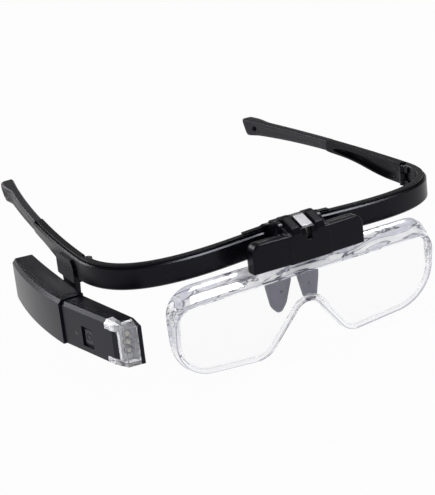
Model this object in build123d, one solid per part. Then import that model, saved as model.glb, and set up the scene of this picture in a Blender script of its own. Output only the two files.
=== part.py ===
from build123d import *
import os
from math import atan2, cos, degrees, radians, sin, sqrt, tan

# Lighted magnifier glasses: a brow frame with folding temple arms, a one-piece magnifier
# that clips into a flip-up holder over the nose, and a lamp hung below one temple.
# Lengths are in millimetres. The origin is the middle of the brow bar's flat back face.
# +X is the wearer's left, +Y runs back along the temples, +Z is up.

# Driving sizes of the brow bar
hinge_half = 76.0
seam_y = 22.5
bar_thick = 3.8
bar_high = 9.4
bar_flat_half = 12.5
bar_front_pull = 10.0
bar_corner_pull = 40.0
ledge_wide = 2.7
ledge_step = 0.9
groove_wide = 0.4
groove_deep = 0.45
edge_round = 0.6

# Driving sizes of the temple hinges
knuckle_r = 1.9
hinge_pin_r = 0.75
hinge_head_r = 1.35
hinge_head_high = 0.6
hinge_gap = 0.25
running_gap = 0.05
lug_high = 2.3
lug_inset = 0.7

# Driving sizes of the temple arms and their soft tips
arm_long = 49.7
arm_end_thick = 4.3
arm_end_high = 4.9
arm_lean_share = 0.033
arm_curl_radius = 456.0
arm_rise_share = 0.021
arm_rise_radius = 2820.0
arm_station_shares = [0.0, 0.2, 0.38, 0.6, 0.8, 1.0]
arm_drop_shares = [0.0, 0.07, 0.24, 0.64, 0.88, 1.0]
scoop_web = 1.6
scoop_flange = 2.5
scoop_lip = 1.0
scoop_start = 4.0
scoop_end = 4.5
scoop_place_shares = [0.0, 0.1, 0.5, 0.9, 1.0]
scoop_depth_shares = [0.35, 1.0, 1.0, 0.9, 0.25]
tip_long = 54.0
tip_thick = 4.0
tip_high = 4.9
tip_end_high = 7.4
tip_end_lean = 3.8
tip_corner = 1.1
tip_station_shares = [0.0, 0.3, 0.6, 0.82, 1.0]
tip_flare_shares = [0.0, 0.05, 0.35, 0.8, 1.0]
tongue_long = 26.0
tongue_thick = 1.8
tongue_high = 2.6
seat_gap = 0.1
strap_hole_r = 1.1
strap_hole_back = 8.2

# Driving sizes of the flip hinge and the lens holder
pivot_y = -9.4
pivot_z = 5.6
flip_pin_r = 1.2
flip_pin_sink = 0.4
barrel_r = 4.5
barrel_half = 7.0
hood_half = 9.0
cheek_r = 2.9
barrel_gap = 0.35
ear_r = 3.4
ear_thick = 2.0
hood_slope = 0.4
holder_half = 24.3
holder_front = -18.1
holder_back = -11.4
holder_low = -6.1
holder_top = 5.2
holder_corner = 3.4
shell_back = -12.9
nose_break = 1.3
nose_drop = 2.2
crease_half = 7.3
wing_sweep = 0.7
pocket_in = 10.8
pocket_out = 20.2
pocket_front = -14.8
side_gap = 0.15
strip_half = 2.3
strip_thick = 0.7
strip_sink = 0.9
strip_hook_in = 1.6
strip_groove_half = 3.4
strip_slot_half = 1.1
strip_tab_low = 1.8
strip_wrap_deg = 55.0
holder_screw_z = -3.4

# Driving sizes of the bracket on the bar
bracket_thick = 1.5
bracket_cap = 1.4
bracket_rear = 3.4
block_high = 0.8
strap_out = 19.0
strap_high = 0.9
strap_foot = 1.2
strap_knee = 0.5
strap_bend_r = 0.5
strap_end_share = 0.6
strap_wide_share = 0.85
bar_screw_x = 7.6
bar_screw_r = 0.9
bar_screw_head_r = 1.7
bar_screw_head = 0.9
bar_screw_long = 5.0

# Driving sizes of the magnifier
lens_half = 57.8
lens_high = 32.6
lens_deep = 6.6
lens_wall = 1.9
lens_plate = 2.2
lens_top_y = -15.3
lens_top_z = -10.9
lens_lean = 0.14
lens_rise = 5.5
lens_flare = 0.8
lens_hem = 0.8
tongue_top = 3.4
shoulder_wide = 1.2
lens_front_corner_r = 8.0
lens_back_corner_r = 11.0
lens_side_high = 29.6
lens_cheek_r = 17.0
lens_lobe_half = 18.2
lens_lobe_dip = 0.4
lens_lobe_r = 9.0
lens_arch_top = 10.1
lens_arch_r = 6.0

# Driving sizes of the nosepiece
pad_top_x = 0.6
pad_top_y = -3.2
pad_drop = 0.4
pad_wide = 10.8
pad_long = 22.8
pad_thick = 2.4
pad_back_deg = 2.0
pad_yaw_deg = 12.0
pad_round = 0.8
pad_corner_shares = [(0.0, 0.0), (0.93, 0.0), (1.03, 0.42), (0.80, 1.0), (0.45, 1.0)]
pad_top_r = 1.0
pad_bow_r = 30.0
pad_tip_r = 2.2
stem_place_share = 0.46
carrier_half = 8.6
carrier_high = 2.6
carrier_thick = 3.0
carrier_front = -3.6
stem_wide = 4.4
stem_long = 9.0
stem_thick = 1.0

# Driving sizes of the lamp and its bracket
lamp_top = -7.6
lamp_high = 17.2
lamp_rise = 1.6
lamp_mouth_y = 18.5
lamp_rear_y = 74.5
lamp_mouth_out = 88.0
lamp_mid_out = 87.2
lamp_rear_out = 82.2
lamp_mouth_in = 77.6
lamp_mid_in = 76.3
lamp_rear_in = 73.8
lamp_wall = 1.2
lamp_edge = 0.8
lamp_bevel = 1.3
sleeve_step = 0.5
face_rear_out = 87.2
face_front_out = 82.6
face_front_y = -13.6
nose_tip_x = 80.4
nose_tip_y = -19.4
inner_front_x = 73.9
inner_front_y = -20.4
inner_rear_x = 78.2
spigot_long = 3.4
spigot_root = 1.6
spigot_gap = 0.12
cover_thick = 1.4
cover_front_y = -13.0
cover_screw_front_y = -10.9
cover_screw_rear_y = 15.0
post_r = 1.5
window_thick = 1.3
window_back_y = -16.0
window_tab = 4.2
window_tab_high = 3.4
window_tab_wide = 3.2
window_bevel = 2.2
window_slope_share = 1.6
low_tab_share = 0.7
rim_inset = 1.9
rim_groove = 0.45
rim_band = 4.2
rim_pitch = 1.3
tilt_y = 34.0
tilt_z = -15.4
tilt_pin_r = 1.2
tilt_head_r = 2.6
tilt_head = 0.8
washer_r = 4.0
washer_thick = 0.8
clip_from_y = 26.6
clip_to_y = 43.6
clip_top = 2.2
clip_cheek = 1.1
clip_floor = 1.6
clip_corner = 3.6
leg_thick = 1.9
leg_r = 4.6
leg_flare_share = 1.3
clip_screw_r = 0.7
clip_screw_head_r = 1.4
clip_screw_head = 0.6
clip_screw_long = 3.0

# Driving sizes of what the lamp holds
button_y = 2.6
button_z = -18.3
button_wide = 4.8
button_high = 5.6
button_gap = 0.2
button_travel = 0.5
button_flange = 0.6
button_proud = 0.2
recess_deep = 0.8
recess_rim = 1.1
dot_y = 9.8
dot_r = 0.75
cell_long = 27.0
cell_thick = 5.6
cell_high = 10.4
cell_x = 80.6
cell_turn_deg = 6.3
wire_r = 0.45
wire_pitch = 1.5
board_thick = 1.0
board_from_y = -8.6
board_to_y = 11.2
switch_size = 3.4
switch_thick = 1.1
socket_wide = 7.4
socket_high = 2.6
socket_deep = 5.0
led_r = 1.0
led_high = 1.3
led_pitch = 3.1
overrun = 1.0

# Places that follow from the sizes above
bar_top = bar_high / 2
bar_low = -bar_high / 2
shoulder_z = bar_top - ledge_step
hinge_x = hinge_half - bar_thick
lamp_low = lamp_top - lamp_high
front_top = lamp_top - sleeve_step
front_low = lamp_low + sleeve_step
pocket_back = shell_back
strap_peak = bar_top + bracket_cap
pad_top_z = bar_low - carrier_high - pad_drop
carrier_y = carrier_front + carrier_thick / 2
washer_x = -lamp_mid_in - lamp_wall / 4
leg_x = washer_x + washer_thick
boss_end = washer_x - 2 * lamp_wall
socket_x = -(lamp_rear_out + lamp_rear_in) / 2
socket_z = (lamp_top + lamp_low + lamp_rise) / 2
socket_end_y = lamp_rear_y - overrun
board_depth = lamp_wall + seat_gap + button_flange + button_travel + seat_gap + switch_thick
light_x = -(face_front_out + inner_front_x) / 2 + led_pitch / 4
light_y = window_back_y + overrun
light_z = (front_top + front_low) / 2


def block(low, high):
    """A block between its lowest and its highest corner."""
    size = [b - a for a, b in zip(low, high)]
    middle = [(a + b) / 2 for a, b in zip(low, high)]
    return Pos(*middle) * Box(*size)


def rod(radius, start, end):
    """A round bar between two points."""
    axis = Vector(*end) - Vector(*start)
    return extrude(Plane(origin=start, z_dir=axis) * Circle(radius), axis.length)


def side_slab(points, x_low, x_high):
    """A slab cut to an outline in Y and Z, between two places along X."""
    outline = make_face(Polyline(*points, close=True))
    return extrude(Plane.YZ.offset(x_low) * outline, x_high - x_low)


def side_disc(radius, x_low, x_high):
    """A disc about the flip hinge's line, between two places along X."""
    return rod(radius, (x_low, pivot_y, pivot_z), (x_high, pivot_y, pivot_z))


def plan_slab(face, z_low, z_high):
    """A plan face raised between two heights."""
    return extrude(Pos(0, 0, z_low) * face, z_high - z_low)


def loft_rings(rings):
    """A smooth solid through closed rings of points."""
    return Solid.make_loft([Wire.make_polygon(ring, close=True) for ring in rings])


def other_side(shape):
    """The same piece on the wearer's other side."""
    return mirror(shape, about=Plane.YZ)


def save(name, shape):
    """Write one piece, or one group of like pieces, as its own file."""
    solids = [solid for solid in shape.solids()]
    whole = solids[0] if len(solids) == 1 else Compound(children=solids)
    export_step(whole, f"parts/{name}.step")


def bar_section():
    """The brow bar's section on the middle plane: a back ledge, a groove and a front shoulder."""
    front = -bar_thick
    ledge = -ledge_wide
    points = [
        (front, bar_low + edge_round),
        (front, shoulder_z - edge_round),
        (front + edge_round, shoulder_z),
        (ledge - groove_wide, shoulder_z),
        (ledge - groove_wide, shoulder_z - groove_deep),
        (ledge, shoulder_z - groove_deep),
        (ledge, bar_top),
        (-edge_round / 2, bar_top),
        (0, bar_top - edge_round / 2),
        (0, bar_low + edge_round / 2),
        (-edge_round / 2, bar_low),
        (front + edge_round, bar_low),
    ]
    return Plane.YZ * make_face(Polyline(*points, close=True))


def bar_half():
    """The brow bar from the middle to the seam with the temple arm."""
    front = (bar_flat_half, -bar_thick)
    flat = Line((0, -bar_thick), front)
    corner = Bezier(
        front,
        (bar_flat_half + bar_front_pull, -bar_thick),
        (hinge_half, seam_y - bar_corner_pull),
        (hinge_half, seam_y),
    )
    return sweep(bar_section(), path=Wire([flat.edge(), corner.edge()]))


def knuckle(z_low, z_high, toward):
    """A hinge knuckle with the web that joins it to the wall before or behind the seam."""
    barrel = rod(knuckle_r, (hinge_x, seam_y, z_low), (hinge_x, seam_y, z_high))
    web_to = seam_y + toward * 2 * knuckle_r
    web = block(
        (hinge_x - knuckle_r / 2, min(seam_y, web_to), z_low),
        (hinge_x + bar_thick / 2, max(seam_y, web_to), z_high),
    )
    return barrel + web


def knuckle_room(z_low, z_high):
    """The room that a knuckle needs in the wall across the seam."""
    reach = knuckle_r + hinge_gap
    return rod(reach, (hinge_x, seam_y, z_low), (hinge_x, seam_y, z_high))


lug_top = (bar_top - lug_inset - lug_high, bar_top - lug_inset)
lug_low = (bar_low + lug_inset, bar_low + lug_inset + lug_high)
lug_mid = (lug_low[1] + hinge_gap, lug_top[0] - hinge_gap)


def brow_bar():
    """The bent bar across the brow, with two hinge lugs and two screw holes."""
    half = bar_half()
    half -= knuckle_room(lug_low[1], lug_top[0])
    half += knuckle(*lug_top, -1) + knuckle(*lug_low, -1)
    half -= rod(hinge_pin_r, (hinge_x, seam_y, bar_low), (hinge_x, seam_y, bar_top))
    head_low = bar_top - lug_inset - hinge_head_high
    half -= rod(hinge_head_r, (hinge_x, seam_y, head_low), (hinge_x, seam_y, bar_top))
    bar = half + other_side(half)
    for x in (-bar_screw_x, bar_screw_x):
        bar -= rod(bar_screw_r, (x, -bar_thick, 0), (x, 0, 0))
        bar -= rod(bar_screw_head_r, (x, -bar_screw_head, 0), (x, 0, 0))
    return bar - nose_screw()


def hinge_screw():
    """The screw that pins one temple arm to the bar."""
    top = bar_top - lug_inset
    shank = rod(hinge_pin_r, (hinge_x, seam_y, lug_low[0]), (hinge_x, seam_y, top))
    head = rod(hinge_head_r, (hinge_x, seam_y, top - hinge_head_high), (hinge_x, seam_y, top))
    return shank + head


def arm_x(along):
    """How far out the arm's outer face lies at a distance behind the seam."""
    return hinge_half - arm_lean_share * along - along * along / (2 * arm_curl_radius)


def arm_z(along):
    """How high the arm's top ledge lies at a distance behind the seam."""
    return bar_top + arm_rise_share * along + along * along / (2 * arm_rise_radius)


def arm_ring(along, thick, high):
    """One section of the arm: the same ledge, groove and shoulder as the bar."""
    out = arm_x(along)
    top = arm_z(along)
    low = top - high
    lip = ledge_wide * thick / bar_thick
    shape = [
        (0, low + edge_round),
        (0, top - ledge_step - edge_round),
        (edge_round, top - ledge_step),
        (thick - lip - groove_wide, top - ledge_step),
        (thick - lip - groove_wide, top - ledge_step - groove_deep),
        (thick - lip, top - ledge_step - groove_deep),
        (thick - lip, top),
        (thick - edge_round / 2, top),
        (thick, top - edge_round / 2),
        (thick, low + edge_round / 2),
        (thick - edge_round / 2, low),
        (edge_round, low),
    ]
    return [(out - inward, seam_y + along, z) for inward, z in shape]


def scoop_ring(along, share):
    """One section of the long scoop in the arm's inner side, deep by a share of its full depth."""
    out = arm_x(along)
    top = arm_z(along) - scoop_flange
    low = arm_z(along) - arm_high(along) + scoop_lip
    middle = (top + low) / 2
    half = (top - low) / 2 * share
    web = out - bar_thick + (bar_thick - scoop_web) * share
    shape = [
        (web, middle - half * share),
        (web, middle + half * share),
        (out - arm_end_thick - overrun, middle + half + overrun * share),
        (out - arm_end_thick - overrun, middle - half),
    ]
    return [(x, seam_y + along, z) for x, z in shape]


def arm_high(along):
    """The arm's height at a distance behind the seam, read between its stations."""
    share = along / arm_long
    spans = zip(arm_station_shares, arm_station_shares[1:], arm_drop_shares, arm_drop_shares[1:])
    for start, end, low, high in spans:
        if share <= end:
            drop = low + (high - low) * (share - start) / (end - start)
            return bar_high - (bar_high - arm_end_high) * drop
    return arm_end_high


def arm_thick(along):
    """The arm's thickness, which grows a little toward the soft tip."""
    return bar_thick + (arm_end_thick - bar_thick) * along / arm_long


def tip_middle(along):
    """The middle of the soft tip's section at a distance behind its joint."""
    reach = arm_long + along
    inward = arm_x(reach) - (arm_end_thick - tip_thick) / 2 - tip_thick / 2
    return inward, arm_z(reach) - tip_high / 2 - (arm_end_high - tip_high) / 2


def tongue_ring(along, grow):
    """One section of the tongue that carries the soft tip."""
    x, z = tip_middle(along)
    y = seam_y + arm_long + along
    wide = tongue_thick / 2 + grow
    high = tongue_high / 2 + grow
    corners = [(-wide, -high), (wide, -high), (wide, high), (-wide, high)]
    return [(x + across, y, z + up) for across, up in corners]


def tongue(grow, reach):
    """The arm's tongue, or with room to spare the pocket it goes into."""
    places = [-overrun * 2, tongue_long / 2, tongue_long + reach]
    return loft_rings([tongue_ring(place, grow) for place in places])


def arm_envelope():
    """The arm before its scoop and its hinge are cut: a loft through its stations."""
    places = [share * arm_long for share in arm_station_shares]
    places[0] = side_gap
    return Part() + loft_rings([arm_ring(place, arm_thick(place), arm_high(place)) for place in places])


def temple_arm():
    """One temple arm: a tapering bar, scooped on its inner side, with a hinge knuckle and a tongue."""
    scoop_long = arm_long - scoop_start - scoop_end
    rings = []
    for place, depth in zip(scoop_place_shares, scoop_depth_shares):
        rings.append(scoop_ring(scoop_start + place * scoop_long, depth))
    arm = arm_envelope() - loft_rings(rings)
    arm -= knuckle_room(lug_top[0] - hinge_gap, bar_top + overrun)
    arm -= knuckle_room(bar_low - overrun, lug_low[1] + hinge_gap)
    arm += knuckle(*lug_mid, 1)
    arm -= rod(hinge_pin_r + running_gap, (hinge_x, seam_y, bar_low), (hinge_x, seam_y, bar_top))
    return arm + tongue(0, 0)


def tip_ring(along, share):
    """One section of the soft tip, its corners rounded."""
    x, z = tip_middle(along)
    y = seam_y + arm_long + along
    high = tip_high + (tip_end_high - tip_high) * share
    top = z + tip_high / 2
    low = top - high
    half = tip_thick / 2
    cut = tip_corner
    return [
        (x + half, y, low + cut),
        (x + half, y, top - cut),
        (x + half - cut, y, top),
        (x - half + cut, y, top),
        (x - half, y, top - cut),
        (x - half, y, low + cut),
        (x - half + cut, y, low),
        (x + half - cut, y, low),
    ]


def temple_tip():
    """The soft sleeve on the arm's end, flared to a paddle with a small strap hole."""
    rings = []
    for place, share in zip(tip_station_shares, tip_flare_shares):
        rings.append(tip_ring(place * tip_long, share))
    tip = Part() + loft_rings(rings)
    end_y = seam_y + arm_long + tip_long
    top = arm_z(arm_long + tip_long) + overrun
    low = top - tip_end_high - 2 * overrun
    side = make_face(
        Polyline(
            (end_y - tip_long - overrun, low),
            (end_y - tip_end_lean, low),
            (end_y, top),
            (end_y - tip_long - overrun, top),
            close=True,
        )
    )
    side = fillet(side.vertices().group_by(Axis.X)[-1], tip_corner)
    tip &= extrude(Plane.YZ * side, hinge_half)
    tip -= tongue(seat_gap, overrun)
    hole_y = end_y - strap_hole_back
    hole_x, hole_z = tip_middle(tip_long - strap_hole_back)
    hole_z -= (tip_end_high - tip_high) / 2 * tip_flare_shares[3]
    tip -= rod(strap_hole_r, (hole_x - tip_thick, hole_y, hole_z), (hole_x + tip_thick, hole_y, hole_z))
    return tip


def hood_outline(radius):
    """The holder's middle in side view: a slope that runs tangent into the hinge barrel."""
    slope_deg = degrees(atan2(hood_slope, 1))
    touch = (pivot_y - radius * sin(radians(slope_deg)), pivot_z + radius * cos(radians(slope_deg)))
    break_y = holder_front + nose_break
    break_z = touch[1] - (touch[0] - break_y) * hood_slope
    return [
        (pivot_y, pivot_z),
        touch,
        (break_y, break_z),
        (holder_front, break_z - nose_drop),
        (holder_front, holder_low),
        (shell_back, holder_low),
        (shell_back, pivot_z - barrel_r),
        (pivot_y, pivot_z - barrel_r),
    ]


def hood(radius, half):
    """The hood over the flip hinge, as wide as asked, with the barrel at its back."""
    return side_slab(hood_outline(radius), -half, half) + side_disc(radius, -half, half)


def holder_wings():
    """The holder's two side pockets, swept back a little from the middle panel."""
    front = [
        (-holder_half, holder_front + wing_sweep),
        (-crease_half, holder_front),
        (crease_half, holder_front),
        (holder_half, holder_front + wing_sweep),
        (holder_half, shell_back),
        (-holder_half, shell_back),
    ]
    plan = plan_slab(make_face(Polyline(*front, close=True)), holder_low, holder_top)
    return plan & holder_corners(holder_half, holder_low, holder_top, holder_corner)


def holder_corners(half, low, top, corner):
    """The holder's front view: a strip with rounded upper corners."""
    face = make_face(Polyline((-half, low), (half, low), (half, top), (-half, top), close=True))
    face = fillet(face.vertices().group_by(Axis.Y)[-1], corner)
    return extrude(Plane.XZ * face, -holder_front + overrun)


def lens_holder():
    """The flip-up holder: two pockets for the magnifier's tongues and the hinge barrel between."""
    body = holder_wings()
    rim = body.edges().filter_by(lambda e: e.center().Y < holder_front + wing_sweep + seat_gap)
    body = fillet(rim.filter_by(lambda e: abs(e.center().X) > crease_half or e.center().Z > 0), edge_round)
    body += hood(barrel_r, barrel_half)
    body += hood(cheek_r, hood_half) & block(
        (-hood_half, holder_front - overrun, holder_low),
        (hood_half, shell_back, pivot_z + barrel_r),
    )
    for side in (-1, 1):
        inner = side * pocket_in
        outer = side * pocket_out
        low_x = min(inner, outer)
        high_x = max(inner, outer)
        body -= block(
            (low_x, pocket_front, holder_low - overrun),
            (high_x, pocket_back, holder_top + overrun),
        )
        body -= side_disc(ear_r + barrel_gap, *ear_room(side))
        screw_x = side * (pocket_out + holder_half) / 2
        screw_end = (screw_x, pocket_back, holder_screw_z)
        body -= rod(clip_screw_r, (screw_x, pocket_front, holder_screw_z), screw_end)
    body -= side_disc(flip_pin_r + running_gap, -barrel_half - overrun, barrel_half + overrun)
    groove = hood(barrel_r + overrun, strip_groove_half) - hood(barrel_r - strip_sink, strip_groove_half)
    keep = block(
        (-strip_groove_half, holder_front - overrun, pivot_z - barrel_r / 2),
        (strip_groove_half, pivot_y + 2 * barrel_r, pivot_z + 2 * barrel_r),
    )
    body -= groove & keep & strip_reach()
    slot_back = holder_front + strip_sink + strip_hook_in + strip_thick
    body -= block(
        (-strip_slot_half, holder_front - overrun, strip_tab_low),
        (strip_slot_half, slot_back, pivot_z + 2 * barrel_r),
    )
    return body


def ear_room(side):
    """Where one bracket ear passes beside the hood, along X."""
    near = side * (barrel_half + side_gap / 2)
    far = side * (barrel_half + 2 * barrel_gap + ear_thick)
    return min(near, far), max(near, far)


def strip_reach():
    """What the spring strip may cover: the hood's slope and the top of its barrel."""
    wrap = radians(strip_wrap_deg)
    reach = 3 * barrel_r
    return side_slab(
        [
            (pivot_y, pivot_z),
            (pivot_y + reach * sin(wrap), pivot_z + reach * cos(wrap)),
            (pivot_y, pivot_z + reach),
            (holder_front - overrun, pivot_z + reach),
            (holder_front - overrun, strip_tab_low),
            (holder_front + strip_sink + strip_thick, strip_tab_low),
        ],
        -barrel_half,
        barrel_half,
    )


def detent_strip():
    """The bright spring strip over the hinge barrel, its leg down in the slot in the hood's front."""
    outer = hood(barrel_r - strip_sink + strip_thick, strip_half)
    strip = outer - hood(barrel_r - strip_sink, strip_half)
    low = hood_outline(barrel_r - strip_sink)[2][1]
    keep = block(
        (-strip_half, holder_front, low),
        (strip_half, pivot_y + 2 * barrel_r, pivot_z + 2 * barrel_r),
    )
    strip = strip & keep & strip_reach()
    leg_front = holder_front + strip_sink + strip_hook_in
    touch_y, touch_z = hood_outline(barrel_r - strip_sink)[1]
    leg_top = touch_z - (touch_y - leg_front) * hood_slope + strip_thick
    leg_half = strip_slot_half - side_gap / 2
    leg = block((-leg_half, leg_front, strip_tab_low), (leg_half, leg_front + strip_thick, leg_top))
    return strip + leg


def holder_back_plate():
    """The plate that closes the holder's pockets from behind."""
    inset = side_gap * 4
    half = holder_half - inset
    plate = holder_corners(half, holder_low, holder_top - inset, holder_corner)
    plate &= block((-half, shell_back, holder_low), (half, holder_back, holder_top))
    plate -= block(
        (-barrel_half - side_gap, shell_back - overrun, pivot_z - barrel_r - side_gap),
        (barrel_half + side_gap, holder_back + overrun, holder_top + overrun),
    )
    for side in (-1, 1):
        plate -= side_disc(ear_r + barrel_gap, *ear_room(side))
        x = side * (pocket_out + holder_half) / 2
        plate -= rod(clip_screw_r, (x, shell_back, holder_screw_z), (x, holder_back, holder_screw_z))
        sunk = holder_back - clip_screw_head
        plate -= rod(clip_screw_head_r, (x, sunk, holder_screw_z), (x, holder_back, holder_screw_z))
    return plate


def holder_screws():
    """The two screws that hold the back plate."""
    screws = Part()
    for side in (-1, 1):
        x = side * (pocket_out + holder_half) / 2
        sunk = holder_back - clip_screw_head
        screws += rod(clip_screw_r, (x, pocket_front, holder_screw_z), (x, holder_back, holder_screw_z))
        screws += rod(clip_screw_head_r, (x, sunk, holder_screw_z), (x, holder_back, holder_screw_z))
    return screws


def flip_pin():
    """The steel pin that the holder turns on."""
    reach = barrel_half + barrel_gap + ear_thick - flip_pin_sink
    return side_disc(flip_pin_r, -reach, reach)


def strap_face(reach):
    """One top strap in front view: flat along the bar, then an S up to the ear."""
    peak = strap_peak
    foot = reach + strap_knee + strap_foot
    tail = (strap_out, bar_top + strap_high * strap_end_share)
    top = FilletPolyline(
        tail,
        (foot, bar_top + strap_high),
        (reach + strap_knee, peak),
        (reach - strap_knee, peak),
        radius=strap_bend_r,
    )
    rest = Polyline((reach - strap_knee, peak), (reach - strap_knee, bar_top), (strap_out, bar_top), tail)
    return make_face(Wire(top.edges() + rest.edges()))


def hinge_bracket():
    """The saddle on the bar that carries the flip hinge: two ears, a cradle and two top straps."""
    reach = barrel_half + barrel_gap + ear_thick
    front = -bar_thick - bracket_thick
    saddle = block((-reach, front, bar_low + edge_round), (reach, -bar_thick, bar_top + bracket_cap))
    cap_back = -bar_thick + bracket_rear
    saddle += block((-reach, front, bar_top), (reach, cap_back, bar_top + bracket_cap))
    cradle = side_slab(
        [
            (front, bar_top + bracket_cap),
            (cap_back, bar_top + bracket_cap),
            (cap_back - edge_round, bar_top + bracket_cap + block_high),
            (front, bar_top + bracket_cap + block_high),
        ],
        -barrel_half,
        barrel_half,
    )
    saddle += cradle
    for side in (-1, 1):
        near = side * (barrel_half + barrel_gap)
        far = side * reach
        ear_low = min(near, far)
        ear_high = max(near, far)
        ear = side_disc(ear_r, ear_low, ear_high)
        web = side_slab(
            [
                (pivot_y, pivot_z + ear_r),
                (front, pivot_z + ear_r / 2),
                (-bar_thick, strap_peak + edge_round),
                (cap_back, strap_peak),
                (cap_back, bar_top),
                (-bar_thick, bar_top),
                (-bar_thick, 0),
                (front, bar_low + edge_round * 2),
                (pivot_y, pivot_z - ear_r),
            ],
            ear_low,
            ear_high,
        )
        saddle += ear + web
    strap = extrude(Plane.XZ.offset(-cap_back) * strap_face(reach), ledge_wide * strap_wide_share)
    saddle += strap + other_side(strap)
    turning = barrel_r + barrel_gap
    saddle -= side_disc(turning, -barrel_half - barrel_gap, barrel_half + barrel_gap)
    saddle -= side_disc(flip_pin_r, -reach, reach)
    for x in (-bar_screw_x, bar_screw_x):
        saddle -= rod(bar_screw_r, (x, -bar_screw_long, 0), (x, -bar_thick, 0))
    return saddle


def bracket_screws():
    """The two screws from behind the bar into the bracket."""
    screws = Part()
    for x in (-bar_screw_x, bar_screw_x):
        screws += rod(bar_screw_r, (x, -bar_screw_long, 0), (x, 0, 0))
        screws += rod(bar_screw_head_r, (x, -bar_screw_head, 0), (x, 0, 0))
        screws -= block(
            (x - bar_screw_head_r, -bar_screw_head / 2, -bar_screw_r / 4),
            (x + bar_screw_head_r, overrun, bar_screw_r / 4),
        )
    return screws


def lens_outline(flare, rise, hem, corner_r):
    """The magnifier's outline: a flat top, two deep lobes and an arch for the nose."""
    half = lens_half + flare
    side = lens_side_high + hem
    lobe = lens_high + lens_lobe_dip + hem
    corners = [
        (-half, -rise),
        (half, -rise),
        (half, side),
        (lens_lobe_half, lobe),
        (0, lens_arch_top),
        (-lens_lobe_half, lobe),
        (-half, side),
    ]
    low = [lens_cheek_r, lens_lobe_r, lens_arch_r, lens_lobe_r, lens_cheek_r]
    rounds = [corner_r, corner_r, *low]
    return make_face(FilletPolyline(*corners, radius=rounds, close=True))


def lens_frame(back):
    """The magnifier's own leaning plane, at a depth behind its front face."""
    plane = Plane(origin=(0, lens_top_y, lens_top_z), x_dir=(1, 0, 0), z_dir=(0, 1, lens_lean))
    return plane.offset(back)


def magnifier_lens():
    """The clear one-piece magnifier: a thick front plate, walls that run back, and two tongues."""
    front = lens_outline(0, 0, 0, lens_front_corner_r)
    back = lens_outline(lens_flare, lens_rise, lens_hem, lens_back_corner_r)
    body = loft([lens_frame(0) * front, lens_frame(lens_deep) * back])
    inner_front = offset(front, -lens_wall)
    inner_back = offset(back, -lens_wall)
    body -= loft([lens_frame(lens_plate) * inner_front, lens_frame(lens_deep + seat_gap) * inner_back])
    for side in (-1, 1):
        x_low = min(side * pocket_in, side * pocket_out) + side_gap
        x_high = max(side * pocket_in, side * pocket_out) - side_gap
        y_low = pocket_front + side_gap
        y_high = pocket_back - side_gap
        rise = block((x_low, y_low, lens_top_z), (x_high, y_high, tongue_top))
        shoulder = block(
            (x_low - shoulder_wide, y_low, lens_top_z),
            (x_high + shoulder_wide, y_high, holder_low - seat_gap),
        )
        body += rise + shoulder
    return body


def pad_plane(side):
    """The leaning, turned plane of one nose pad: X outward, Y down and Z back."""
    yaw = radians(pad_yaw_deg)
    lean = radians(pad_back_deg)
    outward = Vector(side * cos(yaw), sin(yaw), 0)
    down = Vector(side * -sin(yaw) * sin(lean), cos(yaw) * sin(lean), -cos(lean))
    return Plane(
        origin=(side * pad_top_x, pad_top_y, pad_top_z),
        x_dir=outward,
        z_dir=outward.cross(down),
    )


def nose_pad(side):
    """One soft nose pad: straight inner edge, bowed outer edge and a round tip."""
    corners = [(pad_wide * across, pad_long * down) for across, down in pad_corner_shares]
    rounds = [pad_top_r, pad_top_r, pad_bow_r, pad_tip_r, pad_tip_r]
    face = make_face(FilletPolyline(*corners, radius=rounds, close=True))
    pad = extrude(Pos(0, 0, -pad_thick / 2) * face, pad_thick)
    pad = pad_plane(side) * fillet(pad.edges().filter_by(Axis.Z, reverse=True), pad_round)
    return pad - pad_stem(side, seat_gap)


def pad_stem(side, grow):
    """The carrier's stem inside one pad, or with room to spare the pocket for it."""
    middle = pad_wide * stem_place_share
    low = (middle - stem_wide / 2 - grow, -carrier_high, -stem_thick / 2 - grow)
    high = (middle + stem_wide / 2 + grow, stem_long + grow, stem_thick / 2 + grow)
    return pad_plane(side) * block(low, high)


def nose_bridge():
    """The hard carrier under the bar that the soft nose pads push onto."""
    low = bar_low - carrier_high
    carrier_back = carrier_front + carrier_thick
    carrier = block((-carrier_half, carrier_front, low), (carrier_half, carrier_back, bar_low))
    carrier = fillet(carrier.edges().filter_by(Axis.Y), edge_round)
    for side in (-1, 1):
        carrier += pad_stem(side, 0) & block(
            (-hinge_half, -seam_y, pad_top_z - 2 * stem_long),
            (hinge_half, seam_y, bar_low),
        )
    return carrier


def nose_screw():
    """The screw that draws the carrier up under the bar."""
    low = bar_low - carrier_high
    shank = rod(clip_screw_r, (0, carrier_y, low), (0, carrier_y, bar_low + clip_screw_long))
    return shank + rod(clip_screw_head_r, (0, carrier_y, low), (0, carrier_y, low + clip_screw_head))


def lamp_rear_plan(inset, mouth_y, bevel=0):
    """Plan of the lamp's rear housing, or of its inside: a curved box that follows the temple."""
    outset = inset + bevel
    middle_y = (lamp_mouth_y + lamp_rear_y) / 2
    mouth_out = (-lamp_mouth_out + outset, mouth_y)
    rear_out = (-lamp_rear_out + outset, lamp_rear_y - inset)
    rear_in = (-lamp_rear_in - inset, lamp_rear_y - overrun - inset)
    mouth_in = (-lamp_mouth_in - inset, mouth_y)
    outer = ThreePointArc(mouth_out, (-lamp_mid_out + outset, middle_y), rear_out)
    inner = ThreePointArc(rear_in, (-lamp_mid_in - inset, middle_y), mouth_in)
    lines = [outer, Line(rear_out, rear_in), inner, Line(mouth_in, mouth_out)]
    return make_face(Wire([line.edge() for line in lines]))


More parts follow.
